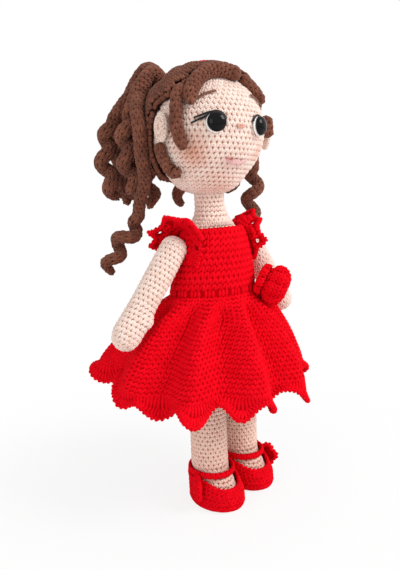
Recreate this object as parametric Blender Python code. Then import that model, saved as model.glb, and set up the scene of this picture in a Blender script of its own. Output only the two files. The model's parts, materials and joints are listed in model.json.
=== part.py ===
"""Crocheted standing doll with a red dress, curled brown hair and strap shoes.

Metres, +Z up. The doll faces -Y, so its right side is at -X. The finished doll stands on z = 0, with
its bounding box centred on the origin.
"""

import math

import bmesh
import bpy
import numpy as np
from mathutils import Matrix, Vector

for leftover in list(bpy.data.objects):
    bpy.data.objects.remove(leftover, do_unlink=True)

# Fits and cloth
GAP = 0.0003  # between two pieces that touch
SKIN_WALL = 0.0022  # a firm round of single crochet
DRESS_WALL = 0.0024
DRESS_EASE = 0.0006  # room between the dress and the body
CAP_WALL = 0.0030
CAP_EASE = 0.0019  # room between the hair cap and the head
CUT_OVERRUN = 0.0040  # how far a cutter passes a face that it cuts

# Head and face
HEAD_RADIUS = 0.0310
HEAD_HEIGHT = 0.2010  # of its centre above the floor
HEAD_TURN = math.radians(-4.5)
HEAD_TILT = math.radians(4.0)
HEAD_OPENING_RADIUS = 0.0058
HEAD_SIDES = 24
HEAD_ROUNDS = 10
FILLING_SIDES = 20
FILLING_ROUNDS = 7
EYE_RADIUS = 0.0049
EYE_DOME = 0.0028
EYE_SHANK_RADIUS = 0.0015
EYE_SHANK_LENGTH = 0.0075
EYE_SIDE_ANGLE = math.radians(24.0)
EYE_LIFT_ANGLE = math.radians(3.0)
EYE_WHITE_RADIUS = 0.0054
EYE_WHITE_WALL = 0.0006
WASHER_RADIUS = 0.0046
WASHER_WALL = 0.0012
SHANK_CLEARANCE = 0.0004
EMBROIDERY_WALL = 0.0009
BROW_LENGTH = 0.0150
BROW_HEIGHT = 0.0052
MOUTH_WIDTH = 0.0150
MOUTH_HEIGHT = 0.0046
NOSE_WIDTH = 0.0056
NOSE_HEIGHT = 0.0014
EAR_HALF_HEIGHT = 0.0075
EAR_HALF_WIDTH = 0.0046
EAR_THICKNESS = 0.0046
EAR_SIDE_ANGLE = math.radians(77.5)
EAR_LIFT_ANGLE = math.radians(2.5)

# Body
NECK_RADIUS = 0.0083
NECK_TOP = 0.1704
NECK_Y = 0.0055
BODY_Y = -0.0010
BODY_HALF_WIDTH = 0.0190
BODY_HALF_DEPTH = 0.0132
WAIST_HEIGHT = 0.1150
HIP_HEIGHT = 0.0780
NECKLINE_HEIGHT = 0.1510
DOWEL_RADIUS = 0.0030
DOWEL_SIDES = 12
DOWEL_LOW = 0.1200
DOWEL_HIGH = 0.1950

# Legs and shoes
LEG_RADIUS = 0.0103
LEG_SPREAD = 0.0112  # from the middle of the doll to the middle of a leg, at the hip
FOOT_SPREAD = 0.0140  # the same at the foot
FOOT_HALF_LENGTH = 0.0146
FOOT_HALF_WIDTH = 0.0102
FOOT_FORWARD = 0.0055  # how far the foot's middle lies in front of the leg's
ANKLE_HEIGHT = 0.0210
SOLE_WALL = 0.0020
SOLE_EDGE = 0.0014  # the sole's edge outside the foot
INSOLE_WALL = 0.0010
SHOE_WALL = 0.0022
SHOE_EASE = 0.0012  # room between the foot and the shoe
SHOE_FRONT_RIM = 0.0122
SHOE_BACK_RIM = 0.0162
STRAP_WIDTH = 0.0040
STRAP_WALL = 0.0018
STRAP_EASE = 0.0013
BOW_RADIUS = 0.0064
BOW_WALL = 0.0034
BOW_HEIGHT = 0.0125

# Arms
ARM_ROOT_RADIUS = 0.0067
ARM_HAND_RADIUS = 0.0078
ARM_LENGTH = 0.0515  # from the shoulder's middle to the hand's middle
SHOULDER_HEIGHT = 0.1405
ARM_SPREAD_ANGLE = math.radians(38.5)
RIGHT_ARM_FORWARD_ANGLE = math.radians(3.0)
LEFT_ARM_FORWARD_ANGLE = math.radians(-13.0)
SHOULDER_Y = 0.0040
THUMB_RADIUS = 0.0033
ARMHOLE_RADIUS = 0.0080

# Dress
PLEATS = 10
PLEAT_DEPTH = 0.0048
PLEAT_RUN_IN_SHARE = 0.34  # of the skirt's height, over which the pleats deepen
FIRST_PLEAT_ANGLE = math.radians(13.0)
SKIRT_HEM_RADIUS = 0.0562
SKIRT_HEM_HEIGHT = 0.0625
SKIRT_HEM_X = -0.0060  # the hem swings to the doll's right and back
SKIRT_HEM_Y = 0.0090
HEM_RISE = 0.0105  # of the hem at its highest, at the doll's right and back
HEM_LOW_ANGLE = math.radians(-54.0)  # where it's lowest
RUFFLES = 20
RUFFLE_DEPTH = 0.0030
RUFFLE_DROP = 0.0030
RUFFLE_BAND = 0.0080
FRILL_REACH = 0.0140
FRILL_INNER_RADIUS = 0.0107
FRILL_WALL = 0.0020
FRILL_POINTS = 6
FRILL_TOP_X = 0.0115  # of its seam over the shoulder
ROSETTE_RADIUS = 0.0115
ROSETTE_DEPTH = 0.0185
ROSETTE_DROOP = math.radians(16.0)  # its face hangs this far down
ROSETTE_PETALS = 9
ROSETTE_LIFT = 0.0018  # of the middle of its back, so that its drooping back clears the bodice
ROSETTE_HEIGHT = 0.1235
ROSETTE_ANGLE = math.radians(49.0)  # from the front towards the doll's left
BUTTON_RADIUS = 0.0040
BUTTON_WALL = 0.0022
BUTTON_RISE_SHARE = 0.6389  # of the bodice's height, from the waist to the button's middle
BUTTON_HEIGHT = WAIST_HEIGHT + BUTTON_RISE_SHARE * (NECKLINE_HEIGHT - WAIST_HEIGHT)

# Hair
LOCK_RADIUS = 0.0032
LONG_LOCK_RADIUS = 0.0034
ROLL_RADIUS = 0.0038
RINGLET_RADIUS = 0.0033  # of a curl's middle line about its own axis
KNOT_RADIUS = 0.0093
PONY_RING_RADIUS = 0.0143
PONY_ANGLE = math.radians(47.0)  # of the ponytail's root above the horizontal, at the back
POINTS_PER_TURN = 8
TIE_RADIUS = 0.0042
TIE_WALL = 0.0030

HEAD_CENTRE = Vector((0, NECK_Y, HEAD_HEIGHT))
HEAD_FRAME = (
    Matrix.Translation(HEAD_CENTRE) @ Matrix.Rotation(HEAD_TURN, 4, "Z") @ Matrix.Rotation(HEAD_TILT, 4, "Y")
)


def finish(name, colour, roughness, metallic=0.0):
    """A Principled material of one colour."""
    made = bpy.data.materials.new(name)
    made.use_nodes = True
    shader = made.node_tree.nodes["Principled BSDF"]
    shader.inputs["Base Color"].default_value = (*colour, 1)
    shader.inputs["Roughness"].default_value = roughness
    shader.inputs["Metallic"].default_value = metallic
    made.diffuse_color = (*colour, 1)
    return made


SKIN = finish("peach_cotton_yarn", (0.86, 0.62, 0.48), 0.9)
RED = finish("red_cotton_yarn", (0.82, 0.01, 0.03), 0.9)
BROWN = finish("brown_cotton_yarn", (0.10, 0.04, 0.028), 0.9)
BLACK = finish("black_eye_plastic", (0.01, 0.01, 0.01), 0.15)
WHITE = finish("white_felt", (0.9, 0.9, 0.9), 0.8)
THREAD = finish("black_thread", (0.015, 0.012, 0.012), 0.7)
BROW = finish("brown_thread", (0.16, 0.06, 0.04), 0.8)
PINK = finish("pink_thread", (0.86, 0.42, 0.45), 0.8)
NOSE = finish("peach_thread", (0.75, 0.40, 0.30), 0.8)
FIBRE = finish("polyester_filling", (0.93, 0.93, 0.92), 1.0)
WOOD = finish("birch_dowel", (0.72, 0.52, 0.33), 0.6)
CLEAR = finish("washer_plastic", (0.85, 0.85, 0.82), 0.3)
BOARD = finish("insole_board", (0.6, 0.5, 0.38), 0.8)
BUTTON = finish("red_button_plastic", (0.7, 0.01, 0.02), 0.25)


def empty(name, place, parent):
    """An empty that carries one moving part of the doll."""
    made = bpy.data.objects.new(name, None)
    bpy.context.scene.collection.objects.link(made)
    made.parent = parent
    made.location = place
    return made


DOLL = empty("doll", (0, 0, 0), None)
PIVOTS = {
    "torso": DOLL,
    "head": empty("head_pivot", (0, NECK_Y, NECK_TOP), DOLL),
}
SHOULDER_X = BODY_HALF_WIDTH + GAP + ARM_ROOT_RADIUS
for side, sign in (("right", -1), ("left", 1)):
    PIVOTS[f"arm_{side}"] = empty(f"arm_{side}_pivot", (sign * SHOULDER_X, SHOULDER_Y, SHOULDER_HEIGHT), DOLL)


def carried(obj, body):
    """Hangs an object modelled at its place in the doll on the pivot of its body."""
    pivot = PIVOTS[body]
    obj.parent = pivot
    if body != "torso":
        obj.matrix_parent_inverse = Matrix.Translation(-pivot.location)
    return obj


def mesh_object(name, bm, look, body):
    """Turns a bmesh into a named, smooth shaded object."""
    mesh = bpy.data.meshes.new(name)
    bm.to_mesh(mesh)
    bm.free()
    mesh.materials.append(look)
    mesh.shade_smooth()
    made = bpy.data.objects.new(name, mesh)
    bpy.context.scene.collection.objects.link(made)
    return carried(made, body)


def lofted(rings, loop=False, capped=True):
    """A bmesh through rings of points, where a ring of one point is a pole."""
    bm = bmesh.new()
    rows = [[bm.verts.new(point) for point in points] for points in rings]
    pairs = list(zip(rows, rows[1:]))
    if loop:
        pairs.append((rows[-1], rows[0]))
    for low, high in pairs:
        for i in range(max(len(low), len(high))):
            j = i + 1
            corners = (low[i % len(low)], low[j % len(low)], high[j % len(high)], high[i % len(high)])
            bm.faces.new(dict.fromkeys(corners))
    if capped and not loop:
        for row in (rows[0], rows[-1]):
            if len(row) > 2:
                bm.faces.new(row)
    return bm


def closed_solid(name, rings, look, body, loop=False):
    bm = lofted(rings, loop)
    bmesh.ops.recalc_face_normals(bm, faces=bm.faces)
    return mesh_object(name, bm, look, body)


def cloth_shell(name, rings, wall, look, body):
    """An open surface, its rings running upwards and counterclockwise, given a wall on its inner side."""
    made = mesh_object(name, lofted(rings, capped=False), look, body)
    solidify = made.modifiers.new("wall", "SOLIDIFY")
    solidify.thickness = wall
    solidify.offset = -1
    solidify.use_even_offset = True
    return made


def cut_by(target, cutter):
    """Cuts a hole with a helper that the doll doesn't show."""
    cutter.hide_render = True
    cutter.display_type = "WIRE"
    boolean = target.modifiers.new("hole", "BOOLEAN")
    boolean.operation = "DIFFERENCE"
    boolean.solver = "EXACT"
    boolean.object = cutter


def circle(count):
    return [2 * math.pi * i / count for i in range(count)]


def oval(x, y, z, half_width, half_depth, count):
    return [Vector((x + half_width * math.cos(a), y + half_depth * math.sin(a), z)) for a in circle(count)]


def smooth_samples(points, count):
    """Evenly parametrised samples of a Catmull-Rom curve through points of any dimension."""
    nodes = np.array([tuple(p) for p in points], float)
    nodes = np.vstack([2 * nodes[0] - nodes[1], nodes, 2 * nodes[-1] - nodes[-2]])
    found = []
    for u in np.linspace(0, len(points) - 1, count):
        i = min(int(u), len(points) - 2)
        t = u - i
        a, b, c, d = nodes[i : i + 4]
        bend = (2 * a - 5 * b + 4 * c - d) * t**2
        twist = (3 * b - a - 3 * c + d) * t**3
        found.append((2 * b + (c - a) * t + bend + twist) / 2)
    return found


def ease(share):
    share = min(max(share, 0), 1)
    return share * share * (3 - 2 * share)


def body_y(height):
    """The middle of the body leans back from the waist to the neck."""
    return BODY_Y + (NECK_Y - BODY_Y) * ease((height - WAIST_HEIGHT) / (NECK_TOP - WAIST_HEIGHT))


# Body: half width and half depth at a share of the height from the hip to the neckline
BODY_SLICE_SHARES = (
    (0.00, 1.13, 0.88),
    (0.10, 1.15, 1.00),
    (0.25, 1.12, 1.04),
    (0.40, 1.02, 1.00),
    (0.52, 0.97, 0.96),
    (0.68, 1.00, 0.98),
    (0.84, 0.99, 0.98),
    (0.94, 0.88, 0.89),
    (1.00, 0.72, 0.76),
)
# Neck: radius at a share of the height from the neckline to its top
NECK_SLICE_SHARES = ((0.16, 1.32), (0.36, 1.09), (0.62, 1.0), (1.0, 1.0))
BODY_SIDES = 22


def body_slice(height):
    """Half width and half depth of the body's skin at a height."""
    body = [
        (HIP_HEIGHT + s * (NECKLINE_HEIGHT - HIP_HEIGHT), w * BODY_HALF_WIDTH, d * BODY_HALF_DEPTH)
        for s, w, d in BODY_SLICE_SHARES
    ]
    neck = [
        (NECKLINE_HEIGHT + s * (NECK_TOP - NECKLINE_HEIGHT), r * NECK_RADIUS, r * NECK_RADIUS)
        for s, r in NECK_SLICE_SHARES
    ]
    table = np.array(body + neck)
    return tuple(np.interp(height, table[:, 0], table[:, k]) for k in (1, 2))


def body_ring(height, inset=0.0, count=BODY_SIDES):
    half_width, half_depth = body_slice(height)
    return oval(0, body_y(height), height, half_width - inset, half_depth - inset, count)


def slope_share(height):
    """How much further out level with the floor a distance reaches than square to the sloping skin."""
    step = SKIN_WALL
    slope = (body_slice(height + step)[0] - body_slice(height - step)[0]) / (2 * step)
    return math.hypot(1, slope)


def over_body_ring(height, outset, count):
    """A ring at a distance from the body measured square to its sloping skin."""
    return body_ring(height, -outset * slope_share(height), count)


def slice_heights():
    torso = [HIP_HEIGHT + s[0] * (NECKLINE_HEIGHT - HIP_HEIGHT) for s in BODY_SLICE_SHARES]
    return torso + [NECKLINE_HEIGHT + s[0] * (NECK_TOP - NECKLINE_HEIGHT) for s in NECK_SLICE_SHARES]


def make_body():
    heights = slice_heights()
    heights[0] += GAP
    cloth_shell("torso_skin", [body_ring(z) for z in heights], SKIN_WALL, SKIN, "torso")
    inset = SKIN_WALL + 2 * GAP
    rings = [body_ring(heights[0], inset + GAP)]
    rings += [over_body_ring(z, -inset, BODY_SIDES) for z in heights[1:-1]]
    top = NECK_TOP - GAP
    bore = DOWEL_RADIUS + GAP
    rings.append(over_body_ring(top, -inset, BODY_SIDES))
    rings.append(oval(0, NECK_Y, top, bore, bore, BODY_SIDES))
    rings.append(oval(0, NECK_Y, DOWEL_LOW - GAP, bore, bore, BODY_SIDES))
    closed_solid("torso_stuffing", rings, FIBRE, "torso")
    rings = [oval(0, NECK_Y, z, DOWEL_RADIUS, DOWEL_RADIUS, DOWEL_SIDES) for z in (DOWEL_LOW, DOWEL_HIGH)]
    closed_solid("neck_dowel", rings, WOOD, "torso")


# Foot and ankle: height share, half length share, half width share, share of the forward shift
FOOT_SLICE_SHARES = (
    (0.00, 0.88, 0.90, 1.00),
    (0.12, 1.00, 1.00, 1.00),
    (0.36, 0.99, 1.00, 0.95),
    (0.57, 0.87, 0.97, 0.68),
    (0.78, 0.75, 0.93, 0.24),
)
FOOT_LOW = SOLE_WALL + GAP
LEG_SIDES = 18


def foot_slice(height):
    """Half width, half length and forward shift of the bare foot or leg at a height."""
    rise = ANKLE_HEIGHT - FOOT_LOW
    table = [
        (FOOT_LOW + s * rise, w * FOOT_HALF_WIDTH, n * FOOT_HALF_LENGTH, f * FOOT_FORWARD)
        for s, n, w, f in FOOT_SLICE_SHARES
    ]
    table.append((ANKLE_HEIGHT, LEG_RADIUS, LEG_RADIUS, 0))
    table = np.array(table)
    return tuple(np.interp(height, table[:, 0], table[:, k]) for k in (1, 2, 3))


def leg_x(height):
    """The legs lean outwards a little from the hip to the ankle."""
    share = min(max((height - ANKLE_HEIGHT) / (HIP_HEIGHT - ANKLE_HEIGHT), 0), 1)
    return FOOT_SPREAD + (LEG_SPREAD - FOOT_SPREAD) * share


def foot_point(sign, angle, height, outset):
    half_width, half_length, forward = foot_slice(height)
    x = sign * leg_x(height) + (half_width + outset) * math.cos(angle)
    y = BODY_Y - forward + (half_length + outset) * math.sin(angle)
    return Vector((x, y, height))


def foot_ring(sign, height, outset=0.0, count=LEG_SIDES):
    return [foot_point(sign, a, height, outset) for a in circle(count)]


def make_leg(side, sign):
    heights = [FOOT_LOW + s[0] * (ANKLE_HEIGHT - FOOT_LOW) for s in FOOT_SLICE_SHARES]
    heights += [ANKLE_HEIGHT, (ANKLE_HEIGHT + HIP_HEIGHT) / 2, HIP_HEIGHT]
    bottom = [Vector((sign * FOOT_SPREAD, BODY_Y - FOOT_FORWARD, FOOT_LOW))]
    rings = [bottom] + [foot_ring(sign, z) for z in heights]
    cloth_shell(f"leg_{side}_skin", rings, SKIN_WALL, SKIN, "torso")
    inset = SKIN_WALL + 2 * GAP
    board_low = FOOT_LOW + SKIN_WALL + GAP
    board = [foot_ring(sign, z, -inset - INSOLE_WALL) for z in (board_low, board_low + INSOLE_WALL)]
    closed_solid(f"foot_{side}_insole", board, BOARD, "torso")
    fill_low = board_low + INSOLE_WALL + GAP
    levels = [fill_low, *[z for z in heights[2:-1] if z > fill_low], HIP_HEIGHT - GAP]
    rings = [foot_ring(sign, z, -inset - SKIN_WALL / 2) for z in levels]
    closed_solid(f"leg_{side}_stuffing", rings, FIBRE, "torso")


SHOE_SIDES = 20
SHOE_RING_SHARES = (0.0, 0.25, 0.6, 1.0)
SOLE_RING_SHARES = ((0.0, 0.4), (0.35, 1.0), (1.0, 1.0))


def shoe_rim(angle):
    """The opening is low over the instep and high round the heel."""
    front = 0.5 - 0.5 * math.sin(angle)
    return SHOE_BACK_RIM + (SHOE_FRONT_RIM - SHOE_BACK_RIM) * ease(2 * front - 1)


def make_shoe(side, sign):
    mid = foot_slice(FOOT_LOW + SHOE_WALL)
    centre_y = BODY_Y - mid[2]
    rings = []
    for level, spread in SOLE_RING_SHARES:
        edge = SHOE_EASE + SOLE_EDGE * spread
        size = (mid[0] + edge, mid[1] + edge)
        rings.append(oval(sign * FOOT_SPREAD, centre_y, level * SOLE_WALL, *size, SHOE_SIDES))
    closed_solid(f"shoe_{side}_sole", rings, RED, "torso")
    rings = []
    outset = SHOE_EASE + SHOE_WALL
    for share in SHOE_RING_SHARES:
        ring = []
        for a in circle(SHOE_SIDES):
            low = FOOT_LOW + GAP
            z = low + share * (shoe_rim(a) - low)
            ring.append(foot_point(sign, a, z, outset))
        rings.append(ring)
    cloth_shell(f"shoe_{side}_upper", rings, SHOE_WALL, RED, "torso")
    low = SHOE_BACK_RIM + GAP
    high = low + STRAP_WIDTH
    rings = []
    for ease_out, height in ((0, low), (0, high), (STRAP_WALL, high), (STRAP_WALL, low)):
        points = foot_ring(sign, low, STRAP_EASE + ease_out)
        rings.append([Vector((p.x, p.y, height)) for p in points])
    closed_solid(f"shoe_{side}_strap", rings, RED, "torso", loop=True)
    seat = FOOT_SPREAD + FOOT_HALF_WIDTH + outset + GAP
    turn = Matrix.Rotation(sign * math.pi / 2, 4, "Y")
    frame = Matrix.Translation((sign * seat, BODY_Y, BOW_HEIGHT)) @ turn
    flower(f"shoe_{side}_flower", frame, BOW_RADIUS, BOW_WALL, SMALL_PETALS, RED, "torso", PETAL_SHARES)


# Flowers: height share and radius share of each ring, from the back face to the middle of the front
PETAL_SHARES = ((0.0, 0.80), (0.30, 1.0), (0.70, 0.86), (1.0, 0.34))
ROSETTE_SHARES = (
    (0.0, 0.40),
    (0.08, 0.66),
    (0.24, 0.72),
    (0.34, 0.55),
    (0.46, 0.95),
    (0.70, 1.00),
    (0.90, 0.70),
    (1.0, 0.34),
)
SMALL_PETALS = 5
PETAL_NOTCH_SHARE = 0.16
POINTS_PER_PETAL = 4


def flower(name, frame, radius, depth, petals, look, body, shares):
    """A scalloped round of petals whose back lies in the frame's XY plane."""
    rings = []
    for height, reach in shares:
        ring = []
        for a in circle(petals * POINTS_PER_PETAL):
            scallop = 1 - PETAL_NOTCH_SHARE * (1 - abs(math.sin(petals * a / 2)))
            out = radius * reach * scallop
            ring.append(frame @ Vector((out * math.cos(a), out * math.sin(a), height * depth)))
        rings.append(ring)
    return closed_solid(name, rings, look, body)


# Arms: share of the length from the shoulder, and share of the hand's radius
ARM_SLICE_SHARES = (
    (-0.125, 0.35),
    (-0.095, 0.68),
    (-0.045, 0.89),
    (0.02, 0.935),
    (0.30, 0.95),
    (0.62, 0.92),
    (0.84, 0.97),
    (1.00, 1.00),
    (1.10, 0.80),
    (1.15, 0.42),
)
ARM_SIDES = 14
# Which slices each face of the arm passes through
ARM_OUTER_PICKS = range(len(ARM_SLICE_SHARES) - 1, -1, -1)
ARM_MOUTH_PICKS = (0,)
ARM_INNER_PICKS = (2, 3, 5, 7, 8)
ARM_FILL_PICKS = (3, 5, 7, 8)


def arm_frame(side, sign):
    """Z runs down the arm from the shoulder, and Y points forwards."""
    pivot = PIVOTS[f"arm_{side}"].location
    forward = RIGHT_ARM_FORWARD_ANGLE if side == "right" else LEFT_ARM_FORWARD_ANGLE
    hanging = math.cos(ARM_SPREAD_ANGLE)
    across = sign * math.sin(ARM_SPREAD_ANGLE)
    down = Vector((across, -hanging * math.sin(forward), -hanging * math.cos(forward)))
    across = down.cross(Vector((0, 1, 0))).normalized()
    front = down.cross(across)
    turn = Matrix((across, front, down)).transposed().to_4x4()
    return Matrix.Translation(pivot) @ turn


ARM_TIP_SHARE = 1.165  # of the length, where the rounded hand ends
THUMB_PLACE_SHARES = (0.60, 0.70)  # across the hand and forwards, of the hand's radius
THUMB_ALONG_SHARE = 0.80


def round_ring(frame, height, radius, count):
    """A circle about the frame's Z."""
    return [frame @ p for p in oval(0, 0, height, radius, radius, count)]


def arm_rings(frame, picks, inset):
    """Rings of the arm at the picked slices, at a depth below its surface."""
    slices = [ARM_SLICE_SHARES[k] for k in picks]
    return [round_ring(frame, s * ARM_LENGTH, r * ARM_HAND_RADIUS - inset, ARM_SIDES) for s, r in slices]


def make_arm(side, sign):
    frame = arm_frame(side, sign)
    tip_height = ARM_TIP_SHARE * ARM_LENGTH
    outer = arm_rings(frame, ARM_OUTER_PICKS, 0)
    mouth = arm_rings(frame, ARM_MOUTH_PICKS, SKIN_WALL / 2)
    inner = arm_rings(frame, ARM_INNER_PICKS, SKIN_WALL)
    tip = [frame @ Vector((0, 0, tip_height))]
    end = [frame @ Vector((0, 0, tip_height - SKIN_WALL))]
    skin = closed_solid(f"arm_{side}_skin", [tip] + outer + mouth + inner + [end], SKIN, f"arm_{side}")
    thumb = bmesh.new()
    bmesh.ops.create_icosphere(thumb, subdivisions=2, radius=THUMB_RADIUS)
    across, forwards = (share * ARM_HAND_RADIUS for share in THUMB_PLACE_SHARES)
    place = frame @ Vector((-sign * across, forwards, THUMB_ALONG_SHARE * ARM_LENGTH))
    bmesh.ops.translate(thumb, verts=thumb.verts, vec=place)
    helper = mesh_object(f"thumb_{side}_helper", thumb, SKIN, f"arm_{side}")
    helper.hide_render = True
    helper.display_type = "WIRE"
    union = skin.modifiers.new("thumb", "BOOLEAN")
    union.operation = "UNION"
    union.solver = "EXACT"
    union.object = helper
    fill = arm_rings(frame, ARM_FILL_PICKS, SKIN_WALL + 2 * GAP + THUMB_RADIUS / 2)
    closed_solid(f"arm_{side}_stuffing", fill, FIBRE, f"arm_{side}")


ARMHOLE_SIDES = 16
BODICE_HEIGHT_SHARES = (0.0, 0.27, 0.54, 0.76, 0.90, 1.0)


def make_bodice():
    heights = [WAIST_HEIGHT + s * (NECKLINE_HEIGHT - WAIST_HEIGHT) for s in BODICE_HEIGHT_SHARES]
    outset = DRESS_EASE + DRESS_WALL
    rings = [over_body_ring(z, outset, BODY_SIDES) for z in heights]
    bodice = cloth_shell("dress_bodice", rings, DRESS_WALL, RED, "torso")
    for sign in (-1, 1):
        place = Vector((sign * (BODY_HALF_WIDTH + DRESS_WALL), SHOULDER_Y, SHOULDER_HEIGHT))
        frame = Matrix.Translation(place) @ Matrix.Rotation(math.pi / 2, 4, "Y")
        reach = BODY_HALF_WIDTH / 2
        rings = [round_ring(frame, height, ARMHOLE_RADIUS, ARMHOLE_SIDES) for height in (-reach, reach)]
        cut_by(bodice, closed_solid(f"armhole_cutter_{sign}", rings, RED, "torso"))


SKIRT_COLUMNS = 80
SKIRT_ROW_SHARES = (0.0, 0.12, 0.30, 0.52, 0.74, 0.89, 1.0)
SKIRT_FLARE_SHARES = (0.0, 0.19, 0.45, 0.69, 0.87, 0.95, 1.0)


def skirt_point(angle, row, flare):
    """A point of the skirt's outer face, with the angle from the front towards the doll's right."""
    waist_height = WAIST_HEIGHT - GAP
    height = waist_height + row * (SKIRT_HEM_HEIGHT - waist_height)
    half_width, half_depth = body_slice(WAIST_HEIGHT)
    outset = DRESS_EASE + DRESS_WALL
    radius_x = half_width + outset + flare * (SKIRT_HEM_RADIUS - half_width - outset)
    radius_y = half_depth + outset + flare * (SKIRT_HEM_RADIUS - half_depth - outset)
    centre_y = body_y(WAIST_HEIGHT) + flare * (SKIRT_HEM_Y - body_y(WAIST_HEIGHT))
    fold = PLEAT_DEPTH * ease(row / PLEAT_RUN_IN_SHARE) * math.cos(PLEATS * (angle - FIRST_PLEAT_ANGLE))
    band = ease((row - 1) * (WAIST_HEIGHT - SKIRT_HEM_HEIGHT) / RUFFLE_BAND + 1)
    wave = math.sin(RUFFLES * (angle - FIRST_PLEAT_ANGLE))
    out = fold + RUFFLE_DEPTH * band * wave
    height -= RUFFLE_DROP * band * math.cos(RUFFLES * (angle - FIRST_PLEAT_ANGLE))
    height += HEM_RISE * row * (0.5 - 0.5 * math.cos(angle - HEM_LOW_ANGLE)) ** 3
    x = flare * SKIRT_HEM_X - (radius_x + out) * math.sin(angle)
    y = centre_y - (radius_y + out) * math.cos(angle)
    return Vector((x, y, height))


def make_skirt():
    rings = []
    for row, flare in zip(SKIRT_ROW_SHARES[::-1], SKIRT_FLARE_SHARES[::-1]):
        rings.append([skirt_point(-a, row, flare) for a in circle(SKIRT_COLUMNS)])
    cloth_shell("dress_skirt", rings, DRESS_WALL, RED, "torso")


FRILL_COLUMNS = 30
FRILL_START = math.radians(-38.0)
FRILL_END = math.radians(218.0)
FRILL_ROW_SHARES = (0.0, 0.5, 1.0)


# Degrees round the armhole from the front, and the frill's reach along the body and away from it
FRILL_REACH_SHARES = (
    (-38, 0.40, 0.00),
    (-10, 0.54, 0.20),
    (20, 0.62, 0.36),
    (50, 0.60, 0.42),
    (75, 0.50, 0.60),
    (95, 0.42, 0.84),
    (120, 0.40, 0.92),
    (150, 0.44, 0.78),
    (185, 0.44, 0.30),
    (218, 0.40, 0.00),
)


def frill_point(sign, angle, row, lift):
    """The frill stands out round the top of the armhole, and its ends lie flat on the bodice."""
    steps = FRILL_POINTS * (angle - FRILL_START) / (FRILL_END - FRILL_START)
    scallop = 0.80 + 0.20 * abs(math.cos(math.pi * steps))
    table = np.array(FRILL_REACH_SHARES)
    along, away = (np.interp(math.degrees(angle), table[:, 0], table[:, k]) for k in (1, 2))
    reach = FRILL_REACH * row * scallop
    radius = FRILL_INNER_RADIUS + reach * along
    y = SHOULDER_Y - radius * math.cos(angle)
    z = SHOULDER_HEIGHT + radius * math.sin(angle)
    level = min(max(z, WAIST_HEIGHT), NECKLINE_HEIGHT)
    half_width, half_depth = body_slice(level)
    outset = (DRESS_EASE + 3 * GAP + DRESS_WALL + lift) * slope_share(level)
    across = (y - body_y(z)) / (half_depth + outset)
    surface = (half_width + outset) * math.sqrt(max(0, 1 - across * across))
    x = max(surface, FRILL_TOP_X) + reach * away
    return Vector((sign * x, y, z))


def make_frill(side, sign):
    bm = bmesh.new()
    angles = [FRILL_START + (FRILL_END - FRILL_START) * i / FRILL_COLUMNS for i in range(FRILL_COLUMNS + 1)]
    grid = [[bm.verts.new(frill_point(sign, a, row, FRILL_WALL)) for row in FRILL_ROW_SHARES] for a in angles]
    for left, right in zip(grid, grid[1:]):
        for i in range(len(FRILL_ROW_SHARES) - 1):
            corners = [left[i], right[i], right[i + 1], left[i + 1]]
            bm.faces.new(corners if sign > 0 else corners[::-1])
    made = mesh_object(f"shoulder_frill_{side}", bm, RED, "torso")
    solidify = made.modifiers.new("wall", "SOLIDIFY")
    solidify.thickness = FRILL_WALL
    solidify.offset = -1
    solidify.use_even_offset = False


def bodice_seat(angle, height, lift):
    """A point just off the bodice and the frame that faces outwards there."""
    half_width, half_depth = body_slice(height)
    outset = DRESS_EASE + DRESS_WALL + lift
    wide, deep = half_width + outset, half_depth + outset
    place = Vector((wide * math.sin(angle), body_y(height) - deep * math.cos(angle), height))
    return place, Vector((math.sin(angle) / wide, -math.cos(angle) / deep, 0)).normalized()


def facing(place, normal):
    across = Vector((0, 0, 1)).cross(normal).normalized()
    up = normal.cross(across)
    return Matrix.Translation(place) @ Matrix((across, up, normal)).transposed().to_4x4()


def make_trimmings():
    place, normal = bodice_seat(ROSETTE_ANGLE, ROSETTE_HEIGHT, ROSETTE_LIFT)
    frame = facing(place, normal) @ Matrix.Rotation(ROSETTE_DROOP, 4, "X")
    size = (ROSETTE_RADIUS, ROSETTE_DEPTH, ROSETTE_PETALS)
    flower("waist_rosette", frame, *size, RED, "torso", ROSETTE_SHARES)
    place, normal = bodice_seat(math.pi, BUTTON_HEIGHT, GAP)
    frame = facing(place, normal)
    sizes = scaled(BUTTON_RING_SHARES, BUTTON_WALL, BUTTON_RADIUS)
    rings = [round_ring(frame, height, radius, BUTTON_SIDES) for height, radius in sizes]
    closed_solid("back_button", rings, BUTTON, "torso")


BUTTON_SIDES = 16
BUTTON_RING_SHARES = ((0.0, 0.9), (0.4, 1.0), (0.85, 1.0), (1.0, 0.85))


def head_point(azimuth, latitude, radius):
    """A point in the turned and tilted head, the azimuth from the face's middle to the doll's right."""
    flat = radius * math.cos(latitude)
    height = radius * math.sin(latitude)
    return HEAD_FRAME @ Vector((-flat * math.sin(azimuth), -flat * math.cos(azimuth), height))


def head_seat(azimuth, latitude, radius):
    """A frame on the head whose Z points outwards and whose Y points up the face."""
    place = head_point(azimuth, latitude, radius)
    normal = (place - HEAD_CENTRE).normalized()
    up = HEAD_FRAME.to_3x3() @ Vector((0, 0, 1))
    across = up.cross(normal).normalized()
    return Matrix.Translation(place) @ Matrix((across, normal.cross(across), normal)).transposed().to_4x4()


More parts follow.
